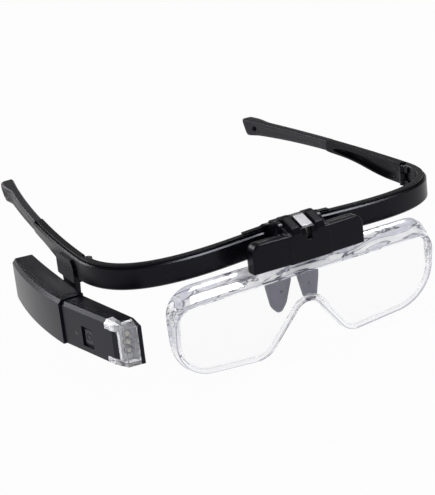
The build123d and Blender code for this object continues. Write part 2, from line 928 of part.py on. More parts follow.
def lamp_front_plan():
    """Plan of the lamp's front housing and window: a straight box turned toward the lens."""
    points = [
        (-face_rear_out, lamp_mouth_y),
        (-face_front_out, face_front_y),
        (-nose_tip_x, nose_tip_y),
        (-inner_front_x, inner_front_y),
        (-inner_rear_x, lamp_mouth_y),
    ]
    return make_face(Polyline(*points, close=True))


def rim_grooves(plan, top, across):
    """The double line inside the outer top edge, which on the rear housing also turns along the mouth."""
    lines = Part()
    for inset in (rim_inset, rim_inset + rim_pitch):
        band = offset(plan, -inset) - offset(plan, -inset - rim_groove)
        lines += plan_slab(band, top - rim_groove, top + overrun)
    outer_side = plan - Pos(rim_band, across, 0) * plan
    return lines & plan_slab(outer_side, top - overrun, top + overrun)


def lamp_side(top, low):
    """Side view of the whole lamp, its floor rising toward the rear."""
    return side_slab(
        [
            (inner_front_y - overrun, low),
            (lamp_mouth_y, low),
            (lamp_rear_y + overrun, low + lamp_rise),
            (lamp_rear_y + overrun, top),
            (inner_front_y - overrun, top),
        ],
        -lamp_mouth_out - overrun,
        -lamp_rear_in + overrun,
    )


def lamp_rear_body():
    """The rear housing's outside: round rear corners and a bevel along the outer top edge."""
    faces = []
    for bevel in (0, lamp_bevel):
        plan = lamp_rear_plan(0, lamp_mouth_y, bevel)
        faces.append(fillet(plan.vertices().sort_by(Axis.Y)[-2:], lamp_edge))
    bevel_low = lamp_top - lamp_bevel
    top = loft([Pos(0, 0, bevel_low) * faces[0], Pos(0, 0, lamp_top) * faces[1]], ruled=True)
    return plan_slab(faces[0], lamp_low, bevel_low) + top


def lamp_rear_housing():
    """The curved rear housing that holds the cell, open where the front housing pushes in."""
    plan = lamp_rear_plan(0, lamp_mouth_y)
    shell = lamp_rear_body() & lamp_side(lamp_top, lamp_low)
    cavity = plan_slab(lamp_rear_plan(lamp_wall, lamp_mouth_y - overrun), lamp_low, lamp_top - lamp_wall)
    shell -= cavity & lamp_side(lamp_top - lamp_wall, lamp_low + lamp_wall)
    shell -= rim_grooves(plan, lamp_top, rim_band)
    outside = rod(washer_r, (boss_end, tilt_y, tilt_z), (washer_x - running_gap, tilt_y, tilt_z))
    shell += outside - plan_slab(lamp_rear_plan(lamp_wall, lamp_mouth_y), lamp_low, lamp_top)
    shell += rod(tilt_pin_r + lamp_wall, (boss_end, tilt_y, tilt_z), (washer_x - lamp_wall, tilt_y, tilt_z))
    shell -= rod(tilt_pin_r + running_gap, (boss_end, tilt_y, tilt_z), (washer_x, tilt_y, tilt_z))
    return shell - socket_room(seat_gap, overrun)


def spigot(inset):
    """The front housing's tail that pushes into the rear housing, or the hollow in it."""
    face = lamp_rear_plan(lamp_wall + inset, lamp_mouth_y - spigot_root)
    tail = plan_slab(face, lamp_low + lamp_wall + spigot_gap + inset, lamp_top - lamp_wall - inset)
    return tail & block(
        (-lamp_mouth_out, lamp_mouth_y - spigot_root, lamp_low),
        (-hinge_x, lamp_mouth_y + spigot_long, lamp_top),
    )


def window_zone(gap):
    """Where the clear window takes the place of the lamp's front wall."""
    outer = -lamp_mouth_out
    wall_x = -inner_front_x - cover_thick - gap
    front = block((outer, inner_front_y - overrun, lamp_low), (wall_x, window_back_y - gap, lamp_top))
    tab_back = face_front_y + window_tab - gap
    tab_x = -face_front_out + window_tab_wide
    top_tab = block((outer, inner_front_y, front_top - window_tab_high + gap), (tab_x, tab_back, lamp_top))
    low_top = front_low + window_tab_high * low_tab_share - gap
    low_tab = block((outer, inner_front_y, lamp_low), (tab_x, tab_back, low_top))
    return front + top_tab + low_tab


def lamp_envelope():
    """The outside of the lamp's front half, its nose bevelled along the top."""
    body = plan_slab(lamp_front_plan(), front_low, front_top)
    slope_y = nose_tip_y + window_bevel * window_slope_share
    bevel = side_slab(
        [
            (slope_y, front_top + overrun),
            (slope_y, front_top),
            (inner_front_y - overrun, front_top - window_bevel),
            (inner_front_y - overrun, front_top + overrun),
        ],
        -lamp_mouth_out,
        -hinge_x,
    )
    body -= bevel
    edge = body.edges().filter_by(lambda e: e.length > lamp_mouth_y - face_front_y - lamp_wall)
    return chamfer(edge.group_by(Axis.Z)[-1].sort_by(Axis.X)[0], lamp_bevel)


def front_cavity(gap):
    """The hollow inside the lamp's front half, or with a gap the room for what it holds."""
    face = offset(lamp_front_plan(), -lamp_wall - gap)
    return plan_slab(face, front_low + lamp_wall + gap, front_top - lamp_wall - gap)


def cover_zone(gap):
    """Where the front housing's inner side is a separate cover."""
    near = [
        (-inner_front_x - cover_thick + gap, inner_front_y),
        (-inner_rear_x - cover_thick + gap, lamp_mouth_y),
        (-inner_rear_x + overrun, lamp_mouth_y),
        (-inner_front_x + overrun, inner_front_y),
    ]
    zone = plan_slab(make_face(Polyline(*near, close=True)), front_low, front_top)
    return zone & block(
        (-lamp_mouth_out, cover_front_y + gap, front_low + edge_round + gap),
        (-hinge_x, lamp_mouth_y - spigot_root - gap, front_top - edge_round - gap),
    )


def face_plane(y, z):
    """The outer face of the front housing at a place: X forward, Z outward."""
    slope = (face_rear_out - face_front_out) / (lamp_mouth_y - face_front_y)
    x = -face_rear_out + (lamp_mouth_y - y) * slope
    along = Vector(slope, -1, 0)
    return Plane(origin=(x, y, z), x_dir=along, z_dir=(-1, -slope, 0))


def lamp_front_housing():
    """The front housing: a shell with the button's recess, the dot's hole and the window's mouth."""
    shell = lamp_envelope() - front_cavity(0)
    shell -= block(
        (-lamp_mouth_out, lamp_mouth_y - 2 * lamp_wall, front_low + 2 * lamp_wall),
        (-lamp_mouth_in - lamp_wall, lamp_mouth_y + overrun, front_top - 2 * lamp_wall),
    ) & spigot_core()
    shell += spigot_shell() + cover_posts()
    shell -= window_zone(0)
    shell -= cover_zone(0)
    shell -= cover_screws()
    shell -= rim_grooves(lamp_front_plan(), front_top, 0)
    wide = button_wide / 2 + recess_rim
    high = button_high / 2 + recess_rim
    place = face_plane(button_y, button_z)
    shell -= place * block((-wide, -high, -recess_deep), (wide, high, overrun))
    hole_w = button_wide / 2 + button_gap
    hole_h = button_high / 2 + button_gap
    shell -= place * block((-hole_w, -hole_h, -lamp_wall * 2), (hole_w, hole_h, overrun))
    spot = face_plane(dot_y, button_z)
    return shell - spot * rod(dot_r, (0, 0, -lamp_wall * 2), (0, 0, overrun))


def spigot_core():
    """The opening between the two housings, as wide as the spigot's hollow."""
    core = spigot(lamp_wall + spigot_gap)
    return core + Pos(0, -spigot_root, 0) * core


def cover_posts():
    """The posts inside the front housing that take the cover's screws."""
    posts = Part()
    for y, z in cover_screw_places():
        posts += rod(post_r, (-lamp_mouth_out, y, z), (-inner_front_x, y, z))
    room = front_cavity(-seat_gap)
    return posts & room


def spigot_shell():
    """The hollow tail of the front housing."""
    return spigot(spigot_gap) - spigot(lamp_wall + spigot_gap)


def lamp_inner_cover():
    """The screwed cover on the front housing's inner side."""
    cover = (lamp_envelope() & cover_zone(seat_gap)) - front_cavity(0)
    return cover - cover_screws()


def cover_screw_places():
    """Where the inner cover's screws sit."""
    return [(cover_screw_front_y, light_z), (cover_screw_rear_y, light_z)]


def cover_screw(y, z):
    """One screw through the inner cover, its head sunk."""
    slope = (inner_rear_x - inner_front_x) / (lamp_mouth_y - inner_front_y)
    x = -inner_rear_x + (lamp_mouth_y - y) * slope
    head = rod(clip_screw_head_r, (x - clip_screw_head, y, z), (x + overrun, y, z))
    return head + rod(clip_screw_r, (x - clip_screw_long, y, z), (x, y, z))


def cover_screws():
    """The inner cover's two screws, cut flush with the cover."""
    screws = Part()
    for y, z in cover_screw_places():
        screws += cover_screw(y, z)
    return screws & plan_slab(lamp_front_plan(), front_low, front_top)


def lamp_window():
    """The clear window: a front wall, a bevelled top and two tabs round the outer corner."""
    envelope = lamp_envelope()
    core = offset(lamp_front_plan(), -window_thick)
    core = plan_slab(core, front_low + window_thick, front_top) & Pos(0, 0, -window_thick) * envelope
    return (envelope - core) & window_zone(seat_gap)


def led_board():
    """The small upright board behind the window."""
    return front_cavity(seat_gap) & block(
        (-lamp_mouth_out, light_y, lamp_low),
        (-hinge_x, light_y + board_thick, lamp_top),
    )


def leds():
    """Three light sources in a column on the board's front, their front edges bevelled."""
    row = Part()
    for step in (-1, 0, 1):
        z = light_z + step * led_pitch
        source = rod(led_r, (light_x, light_y - led_high, z), (light_x, light_y, z))
        row += chamfer(source.edges().group_by(Axis.Y)[0], led_r / 2)
    return row


def reflector():
    """The grey panel that throws the light forward, beside the light sources."""
    x_near = light_x + led_r + 2 * seat_gap
    front_y = inner_front_y + window_thick * 2
    plan = [
        (x_near, light_y - board_thick / 2),
        (x_near, light_y),
        (-inner_front_x, light_y),
        (-inner_front_x, front_y),
        (-inner_front_x - lamp_wall - board_thick, front_y),
    ]
    panel = plan_slab(make_face(Polyline(*plan, close=True)), lamp_low, front_top - window_bevel - seat_gap)
    return panel & front_cavity(2 * seat_gap)


def battery_cell():
    """The flat rechargeable cell in the rear housing, turned to follow its curve."""
    y = socket_end_y - socket_deep - overrun - cell_long / 2
    rear_share = (lamp_rear_y - lamp_wall - socket_deep - lamp_mouth_y) / (lamp_rear_y - lamp_mouth_y)
    z = lamp_low + lamp_rise * rear_share + lamp_wall + seat_gap + cell_high / 2
    cell = Box(cell_thick, cell_long, cell_high)
    cell = fillet(cell.edges().filter_by(Axis.Y), cell_thick / 4)
    return Pos(-cell_x, y, z) * Rot(0, 0, -cell_turn_deg) * cell


def lamp_wires():
    """The two wires from the cell to the circuit board."""
    cell = battery_cell().bounding_box()
    board = control_board().bounding_box()
    wires = Part()
    for step in (0, 1):
        z = cell.max.Z - wire_pitch / 2 - step * wire_pitch
        start = (board.min.X + board_thick / 2 + wire_r, board.max.Y + 2 * seat_gap, z)
        wires += rod(wire_r, start, (-cell_x - cell_thick / 4, cell.min.Y - seat_gap, z))
    return wires


def control_board():
    """The circuit board behind the button, from wall to wall inside the front housing."""
    place = face_plane((board_from_y + board_to_y) / 2, light_z)
    half = (board_to_y - board_from_y) / 2
    slab = place * block((-half, -lamp_high, -board_depth - board_thick), (half, lamp_high, -board_depth))
    return slab & front_cavity(seat_gap)


def tact_switch():
    """The little switch on the board that the button presses."""
    half = switch_size / 2
    high = switch_thick - board_depth
    return face_plane(button_y, button_z) * block((-half, -half, -board_depth), (half, half, high))


def power_button():
    """The square power button, with a flange that keeps it in its hole."""
    wide = button_wide / 2
    high = button_high / 2
    inner = lamp_wall + seat_gap
    cap = block((-wide, -high, -inner - button_flange), (wide, high, button_proud - recess_deep))
    cap = fillet(cap.edges().group_by(Axis.Z)[-1], button_gap)
    flange = block(
        (-wide - button_flange, -high - button_flange, -inner - button_flange),
        (wide + button_flange, high + button_flange, -inner),
    )
    return face_plane(button_y, button_z) * (cap + flange)


def indicator_window():
    """The small clear dot that shows the charge."""
    spot = face_plane(dot_y, button_z)
    return spot * rod(dot_r, (0, 0, -lamp_wall - seat_gap), (0, 0, 0))


def socket_room(grow, reach):
    """The charging socket's outside, or with room to spare its hole in the end wall."""
    wide = socket_high / 2 + grow
    high = socket_wide / 2 + grow
    low = (socket_x - wide, socket_end_y - socket_deep, socket_z - high)
    return block(low, (socket_x + wide, socket_end_y + 2 * reach, socket_z + high))


def charging_socket():
    """The metal shell of the charging socket in the lamp's rear end."""
    shell = socket_room(0, 0)
    shell = fillet(shell.edges().filter_by(Axis.Y), socket_high / 4)
    wall = socket_high / 8
    wide = socket_high / 2 - wall
    high = socket_wide / 2 - wall
    back_y = socket_end_y - socket_deep
    shell -= block(
        (socket_x - wide, back_y + wall, socket_z - high),
        (socket_x + wide, lamp_rear_y, socket_z + high),
    )
    return shell + block(
        (socket_x - wall / 2, back_y, socket_z - high / 2),
        (socket_x + wall / 2, socket_end_y - wall, socket_z + high / 2),
    )


def clip_outline():
    """Side view of the plate that clips onto the temple arm."""
    low = bar_low - clip_floor
    corners = [(clip_from_y, low), (clip_to_y, low), (clip_to_y, clip_top), (clip_from_y, clip_top)]
    face = make_face(Polyline(*corners, close=True))
    return fillet(face.vertices().group_by(Axis.Y)[-1], clip_corner)


def clip_plate(envelope):
    """The clip's outer cheek and floor, which follow the arm that they grip."""
    ends = [clip_from_y, (clip_from_y + clip_to_y) / 2, clip_to_y]
    cheek = [(-arm_x(y - seam_y) - clip_cheek, y) for y in ends]
    inside = [(-hinge_x - side_gap, clip_to_y), (-hinge_x - side_gap, clip_from_y)]
    plan = make_face(Polyline(*cheek, *inside, close=True))
    plate = plan_slab(plan, bar_low - clip_floor, clip_top)
    plate &= extrude(Plane.YZ.offset(-lamp_mouth_out) * clip_outline(), lamp_mouth_out - hinge_x)
    return plate - envelope


def lamp_bracket():
    """The clip on the temple arm, with the leg that carries the lamp's tilt joint."""
    clip = clip_plate(other_side(arm_envelope()))
    foot = leg_r * leg_flare_share
    leg = side_slab(
        [
            (tilt_y - leg_r, tilt_z),
            (tilt_y + leg_r, tilt_z),
            (tilt_y + foot, bar_low - clip_floor / 2),
            (tilt_y - foot, bar_low - clip_floor / 2),
        ],
        leg_x,
        leg_x + leg_thick,
    )
    clip += leg + rod(leg_r, (leg_x, tilt_y, tilt_z), (leg_x + leg_thick, tilt_y, tilt_z))
    clip -= rod(tilt_pin_r, (leg_x, tilt_y, tilt_z), (leg_x + leg_thick, tilt_y, tilt_z))
    for y in clip_screw_places():
        clip -= clip_screw(y)
    return clip


def clip_screw_places():
    """Where the clip's screws go up into the arm."""
    return (clip_from_y + 2 * clip_screw_head_r, clip_to_y - 2 * clip_screw_head_r)


def clip_screw(y):
    """One screw up through the clip's floor into the arm."""
    x = -arm_x(y - seam_y) + scoop_web / 2 + clip_screw_r / 4
    low = bar_low - clip_floor
    head = rod(clip_screw_head_r, (x, y, low), (x, y, low + clip_screw_head))
    return head + rod(clip_screw_r, (x, y, low), (x, y, low + clip_screw_head + clip_screw_long))


def clip_screws():
    """The clip's two screws."""
    screws = Part()
    for y in clip_screw_places():
        screws += clip_screw(y)
    return screws


def tilt_washer():
    """The friction washer between the bracket's leg and the lamp."""
    ring = rod(washer_r, (washer_x, tilt_y, tilt_z), (leg_x, tilt_y, tilt_z))
    return ring - rod(tilt_pin_r, (washer_x, tilt_y, tilt_z), (leg_x, tilt_y, tilt_z))


def tilt_screw():
    """The screw that the lamp tilts on, its head on the leg's inner side."""
    seat = leg_x + leg_thick
    head = rod(tilt_head_r, (seat, tilt_y, tilt_z), (seat + tilt_head, tilt_y, tilt_z))
    return head + rod(tilt_pin_r, (boss_end, tilt_y, tilt_z), (seat, tilt_y, tilt_z))


def main():
    os.makedirs("parts", exist_ok=True)
    left_arm = temple_arm()
    right_arm = other_side(left_arm) - clip_screws()
    tip = temple_tip()
    screw = hinge_screw()
    save("brow_bar", brow_bar())
    save("hinge_bracket", hinge_bracket())
    save("bracket_screws", bracket_screws())
    save("flip_pin", flip_pin())
    save("nose_bridge", nose_bridge() - nose_screw())
    save("nose_screw", nose_screw())
    save("left_nose_pad", nose_pad(1))
    save("right_nose_pad", nose_pad(-1))
    save("left_hinge_screw", screw)
    save("right_hinge_screw", other_side(screw))
    save("left_temple_arm", left_arm)
    save("right_temple_arm", right_arm)
    save("left_temple_tip", tip)
    save("right_temple_tip", other_side(tip))
    save("lens_holder", lens_holder())
    save("holder_back_plate", holder_back_plate())
    save("holder_screws", holder_screws())
    save("detent_strip", detent_strip())
    save("magnifier_lens", magnifier_lens())
    save("lamp_bracket", lamp_bracket())
    save("clip_screws", clip_screws())
    save("tilt_washer", tilt_washer())
    save("tilt_screw", tilt_screw())
    save("lamp_rear_housing", lamp_rear_housing())
    save("lamp_front_housing", lamp_front_housing())
    save("lamp_inner_cover", lamp_inner_cover())
    save("cover_screws", cover_screws())
    save("lamp_window", lamp_window())
    save("led_board", led_board())
    save("leds", leds())
    save("reflector", reflector())
    save("battery_cell", battery_cell())
    save("lamp_wires", lamp_wires())
    save("control_board", control_board())
    save("tact_switch", tact_switch())
    save("power_button", power_button())
    save("indicator_window", indicator_window())
    save("charging_socket", charging_socket())


main()
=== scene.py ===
# %% [markdown]
# This lesson dresses a pair of lighted magnifier glasses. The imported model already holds
# every hard piece at its real size, so the work here is light, finish and the soft or
# polished pieces that a plain solid can't show. Everything is in metres, in the model's
# own frame: +X is the wearer's left, +Y runs back along the temples and +Z is up.

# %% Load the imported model
import math

import bmesh
import bpy
import numpy as np
from mathutils import Matrix, Vector


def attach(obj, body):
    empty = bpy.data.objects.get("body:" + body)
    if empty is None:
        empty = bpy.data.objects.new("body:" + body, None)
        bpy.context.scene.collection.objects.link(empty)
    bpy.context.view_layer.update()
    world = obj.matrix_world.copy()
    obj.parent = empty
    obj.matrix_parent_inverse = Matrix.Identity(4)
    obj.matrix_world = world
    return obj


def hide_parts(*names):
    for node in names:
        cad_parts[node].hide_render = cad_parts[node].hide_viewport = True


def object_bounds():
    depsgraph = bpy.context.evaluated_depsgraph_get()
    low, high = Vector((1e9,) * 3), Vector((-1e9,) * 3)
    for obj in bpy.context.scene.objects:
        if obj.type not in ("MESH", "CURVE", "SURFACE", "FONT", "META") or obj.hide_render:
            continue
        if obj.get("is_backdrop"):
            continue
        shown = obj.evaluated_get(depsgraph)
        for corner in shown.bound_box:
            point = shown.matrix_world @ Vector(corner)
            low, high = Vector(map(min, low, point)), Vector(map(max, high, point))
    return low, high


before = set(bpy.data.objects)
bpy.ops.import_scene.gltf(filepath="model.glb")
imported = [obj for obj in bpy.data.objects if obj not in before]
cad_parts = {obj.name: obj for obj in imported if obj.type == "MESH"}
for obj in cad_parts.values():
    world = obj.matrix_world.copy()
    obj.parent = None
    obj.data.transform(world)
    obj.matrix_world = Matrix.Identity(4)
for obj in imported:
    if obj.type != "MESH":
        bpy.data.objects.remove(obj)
cad_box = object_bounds()
mm = 0.001

# %% [markdown]
# The camera comes first, because every later choice is judged through it. The angles, the
# distance and the focal length were found by matching the long edges of the brow bar and
# the temples. A small roll is needed, as the glasses lean in the picture. The shift only
# moves the optical centre to where the match puts it.

# %% Place the camera
photo_wide = 435
photo_high = 495
view_turn = math.radians(-27.93)
view_height = math.radians(19.45)
view_roll = math.radians(-6.60)
view_distance = 681.4 * mm
view_aim = Vector((0.93, 56.2, -19.3)) * mm
focal_px = 1656.0
centre_px = (218.3, 244.1)
sensor_mm = 36.0


def camera_axes(turn, height, roll):
    """The camera's right, up and back directions: a level turntable view, then rolled."""
    right = Vector((math.cos(turn), math.sin(turn), 0))
    level = math.cos(height)
    back = Vector((math.sin(turn) * level, -math.cos(turn) * level, math.sin(height)))
    up = back.cross(right)
    rolled_right = math.cos(roll) * right + math.sin(roll) * up
    rolled_up = math.cos(roll) * up - math.sin(roll) * right
    return rolled_right, rolled_up, back


right, up, back = camera_axes(view_turn, view_height, view_roll)
camera = bpy.data.objects.new("camera", bpy.data.cameras.new("camera"))
turned = Matrix((right, up, back)).transposed().to_4x4()
camera.matrix_world = Matrix.Translation(view_aim + view_distance * back) @ turned
camera.data.sensor_width = sensor_mm
camera.data.lens = focal_px * sensor_mm / photo_high
camera.data.shift_x = (photo_wide / 2 - centre_px[0]) / photo_high
camera.data.shift_y = (centre_px[1] - photo_high / 2) / photo_high
camera.data.clip_start = 10 * mm
bpy.context.scene.collection.objects.link(camera)
bpy.context.scene.camera = camera
print("camera at", [round(value, 4) for value in camera.matrix_world.translation])

# %% [markdown]
# A material is a small sum of patterns. Writing those sums as ordinary expressions keeps
# them readable, so one class wraps an output socket and overloads the operators, and one
# method makes any other node from its type, its settings and its sockets.

# %% Write node sums as expressions


class Tap:
    """An output socket of a finish, which sums and products can be written with."""

    def __init__(self, finish, socket):
        self.finish = finish
        self.socket = socket

    def math(self, operation, first, second=0.0):
        return self.finish.node("ShaderNodeMath", {"operation": operation}, {0: first, 1: second})

    def __add__(self, other):
        return self.math("ADD", self, other)

    def __radd__(self, other):
        return self.math("ADD", other, self)

    def __sub__(self, other):
        return self.math("SUBTRACT", self, other)

    def __rsub__(self, other):
        return self.math("SUBTRACT", other, self)

    def __mul__(self, other):
        return self.math("MULTIPLY", self, other)

    def __rmul__(self, other):
        return self.math("MULTIPLY", other, self)

    def __gt__(self, other):
        return self.math("GREATER_THAN", self, other)

    def __abs__(self):
        return self.math("ABSOLUTE", self)


class Finish:
    """A material, the node method that fills it, and the patterns that the pieces share."""

    def __init__(self, name):
        self.material = bpy.data.materials.new(name)
        self.material.use_nodes = True
        self.tree = self.material.node_tree
        self.tree.nodes.clear()
        self.place = self.node("ShaderNodeTexCoord", output="Object")

    def node(self, kind, settings=None, inputs=None, output=0):
        """One node: its settings first, then its sockets by name or number."""
        made = self.tree.nodes.new(kind)
        for key, value in (settings or {}).items():
            setattr(made, key, value)
        for key, value in (inputs or {}).items():
            if isinstance(value, Tap):
                self.tree.links.new(value.socket, made.inputs[key])
            else:
                made.inputs[key].default_value = value
        return Tap(self, made.outputs[output]) if len(made.outputs) else made

    def mapped(self, **change):
        """The place, stretched by a Scale or turned by a Rotation."""
        return self.node("ShaderNodeMapping", None, {0: self.place, **change})

    def noise(self, size, detail=2.0, stretch=(1, 1, 1), distortion=0.0):
        """Cloudy noise from 0 to 1 whose blotches are about the given size across."""
        pattern = {"Vector": self.mapped(Scale=stretch), "Scale": 1 / size, "Detail": detail}
        return self.node("ShaderNodeTexNoise", None, {**pattern, "Distortion": distortion})

    def between(self, mask, low, high):
        """A value that goes from low to high as the mask goes from 0 to 1."""
        return mask * (high - low) + low

    def ramp(self, value, start, end):
        """A mask that rises smoothly from 0 at start to 1 at end."""
        rise = {"Value": value, "From Min": start, "From Max": end}
        return self.node("ShaderNodeMapRange", {"interpolation_type": "SMOOTHSTEP"}, rise)

    def tint(self, mask, first, second):
        """A colour that goes from the first to the second as the mask rises."""
        ends = [end if isinstance(end, Tap) else (*end, 1) for end in (first, second)]
        mix = {0: mask, 6: ends[0], 7: ends[1]}
        return self.node("ShaderNodeMix", {"data_type": "RGBA"}, mix, output=2)

    def soft_edge(self, radius):
        """A normal that rounds every edge by a small radius, as a mould does."""
        return self.node("ShaderNodeBevel", {"samples": 8}, {"Radius": radius})

    def bump(self, height, depth, normal=None):
        """A normal bent by a height pattern of the given depth."""
        inputs = {"Strength": 1.0, "Distance": depth, "Height": height}
        if normal:
            inputs["Normal"] = normal
        return self.node("ShaderNodeBump", None, inputs)

    def height_of(self, axis):
        """One of the place's three coordinates, in metres."""
        return self.node("ShaderNodeSeparateXYZ", None, {0: self.place}, output=axis)

    def skin(self, colour, rough, normal, **constants):
        """One shader. What varies is linked, and what doesn't is set on its own socket."""
        inputs = {"Base Color": colour, "Roughness": rough, "Normal": normal}
        inputs.update({key.replace("_", " "): value for key, value in constants.items()})
        return self.node("ShaderNodeBsdfPrincipled", None, inputs)

    def close(self, colour, rough, normal, **constants):
        """A surface of one shader."""
        return self.finished(self.skin(colour, rough, normal, **constants))

    def close_two(self, mask, first, second):
        """A surface that goes from one shader to another as the mask rises."""
        return self.finished(self.node("ShaderNodeMixShader", None, {0: mask, 1: first, 2: second}))

    def finished(self, shader):
        """The material, with the shader as its surface."""
        self.node("ShaderNodeOutputMaterial", None, {"Surface": shader})
        return self.material


print("materials are written with Tap and Finish")

# %% [markdown]
# The room is a white floor under a pale sky, with four soft lamps. Shiny black plastic only
# shows the room, so the room has to have something to show: in a gloss the floor and the
# horizon are white, and the sky darkens overhead, as under a studio's ceiling. That keeps
# the tops of the black pieces dark, and it draws the grey lines in the clear ones. The
# camera itself sees a white sky all over. As a light the sky is weaker, so that the object
# is lit at a plain level, and three of the lamps show only in glosses.

# %% Build the room
floor_z = cad_box[0].z - 0.4 * mm
floor_half = 40.0
floor_white = 0.95
floor_glow = 0.95
sky_light = 0.58
ceiling = 0.13
horizon = (0.10, 0.30)


def seen_directly(finish):
    """1 for what the camera sees by itself, in a gloss or through clear plastic."""
    kinds = ("Camera", "Glossy", "Transmission")
    rays = [finish.node("ShaderNodeLightPath", output=f"Is {kind} Ray") for kind in kinds]
    return (rays[0] + rays[1] + rays[2]) > 0.5


class SkyFinish(Finish):
    """The same node method on the world's tree."""

    def __init__(self, world):
        self.tree = world.node_tree
        self.tree.nodes.clear()


sky = bpy.data.worlds.new("sky")
sky.use_nodes = True
bpy.context.scene.world = sky
sky_finish = SkyFinish(sky)
looking = sky_finish.node("ShaderNodeTexCoord", output="Generated")
upward = sky_finish.node("ShaderNodeSeparateXYZ", None, {0: looking}, output="Z")
shown = sky_finish.between(sky_finish.ramp(upward, *horizon), 1.0, ceiling)
straight = sky_finish.node("ShaderNodeLightPath", output="Is Camera Ray")
shown = shown + straight * (1.0 - shown)
strength = seen_directly(sky_finish) * (shown - sky_light) + sky_light
glow = sky_finish.node("ShaderNodeBackground", None, {"Color": (1, 1, 1, 1), "Strength": strength})
sky_finish.node("ShaderNodeOutputWorld", None, {"Surface": glow})

floor_finish = Finish("white_floor")
paper_colour = (*[floor_white] * 3, 1)
paper = floor_finish.node("ShaderNodeBsdfDiffuse", None, {"Color": paper_colour})
shine = floor_finish.node("ShaderNodeEmission", None, {"Color": (1, 1, 1, 1), "Strength": 1.0})
floor_finish.close_two(seen_directly(floor_finish) * floor_glow, paper, shine)
floor_ring = [(-1, -1), (1, -1), (1, 1), (-1, 1)]
floor_corners = [(x * floor_half, y * floor_half, floor_z) for x, y in floor_ring]
floor_mesh = bpy.data.meshes.new("floor")
floor_mesh.from_pydata(floor_corners, [], [(0, 1, 2, 3)])
floor_mesh.materials.append(floor_finish.material)
floor = bpy.data.objects.new("floor", floor_mesh)
bpy.context.scene.collection.objects.link(floor)
floor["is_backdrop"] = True
bpy.context.scene.view_settings.view_transform = "Standard"
print("floor at", round(floor_z / mm, 2), "mm")

# %% Hang the lamps
panel_aim = Vector((0, 0.03, 0))
panels = [
    # name, place, width, height, watts, and whether it lights colours too
    ("top_panel", (0.50, 0.46, 0.92), 0.5, 0.22, 1.0, False),
    ("rear_panel", (-0.38, 0.96, 0.52), 0.6, 0.26, 4.6, False),
    ("left_panel", (-0.95, 0.15, 0.45), 0.4, 0.4, 1.6, True),
    ("edge_strip", (0.47, -0.30, 0.92), 0.6, 0.14, 15.0, False),
]


def lamp_panel(name, place, wide, high, watts, lights_colours):
    """A soft lamp panel at a place, turned to face the object."""
    light = bpy.data.lights.new(name, "AREA")
    light.shape = "RECTANGLE"
    light.size = wide
    light.size_y = high
    light.energy = watts
    lamp = bpy.data.objects.new(name, light)
    lamp.location = place
    lamp.rotation_euler = (Vector(place) - panel_aim).to_track_quat("Z", "Y").to_euler()
    lamp.visible_diffuse = lights_colours
    bpy.context.scene.collection.objects.link(lamp)


for panel in panels:
    lamp_panel(*panel)
print("lamps:", [panel[0] for panel in panels])

# %% [markdown]
# Finishes come in families: the blacks differ only in their numbers, and so do the metals.
# So each family is one function and one table, and a dictionary keeps every finish by name.
# The first family is the black plastic of the frame, the holder and the lamp: a near black
# colour, a fine grain that blurs its gloss and edges that the mould leaves slightly round.

# %% Mix the moulded blacks
finishes = {}
cool_gloss = (0.86, 0.87, 1.0, 1)


def mix_family(recipe, table):
    """One finish for each line of a table, made by the family's recipe."""
    for name, values in table.items():
        finishes[name] = recipe(name, *values)
    print(recipe.__name__, list(table))


def moulded_black(name, colour, gloss, grain, depth, edge, specular):
    """Black moulded plastic: two tones of a colour, grainy roughness, grain and soft edges."""
    finish = Finish(name)
    patches = finish.noise(9 * mm, 3)
    fine = finish.noise(grain, 3)
    darker, lighter = [part * 0.85 for part in colour], [part * 1.15 for part in colour]
    tone = finish.tint(finish.ramp(patches, 0.35, 0.65), darker, lighter)
    rough = finish.between(fine, gloss - 0.05, gloss + 0.05) + finish.between(patches, -0.03, 0.03)
    normal = finish.bump(fine, depth, finish.soft_edge(edge))
    shine = {"Specular_IOR_Level": specular, "Specular_Tint": cool_gloss}
    return finish.close(tone, rough, normal, **shine)


blacks = {
    # name: colour, roughness, size and depth of the grain, radius of the edges, specular level
    "frame_black": ((0.0045, 0.0045, 0.0065), 0.27, 0.35 * mm, 0.0012 * mm, 0.18 * mm, 0.15),
    "holder_black": ((0.0040, 0.0040, 0.0058), 0.29, 0.35 * mm, 0.0015 * mm, 0.90 * mm, 0.14),
    "lamp_black": ((0.0036, 0.0036, 0.0082), 0.30, 0.40 * mm, 0.0012 * mm, 0.15 * mm, 0.20),
    "button_black": ((0.0300, 0.0300, 0.0360), 0.36, 0.25 * mm, 0.0080 * mm, 0.25 * mm, 0.30),
    "mark_black": ((0.0020, 0.0020, 0.0030), 0.22, 0.25 * mm, 0.0020 * mm, 0.05 * mm, 0.20),
}
mix_family(moulded_black, blacks)

# %% [markdown]
# The metal pieces are few: the bright spring strip over the hinge, the screws, the pins and
# the socket's shell. The strip is brushed along its length, so its grain is noise that is
# stretched hard in one direction. The screws are blackened, and their gloss is duller.

# %% Mix the metals


def brushed_steel(name, colour, gloss, stretch, depth, edge):
    """Steel with hair lines: noise stretched along one direction bends and blurs the gloss."""
    finish = Finish(name)
    hairs = finish.noise(0.12 * mm, 2, stretch)
    stains = finish.ramp(finish.noise(3 * mm, 3), 0.3, 0.8)
    tone = finish.tint(stains, colour, [part * 0.8 for part in colour])
    rough = finish.between(hairs, gloss - 0.06, gloss + 0.10)
    normal = finish.bump(hairs, depth, finish.soft_edge(edge))
    return finish.close(tone, rough, normal, Metallic=1.0)


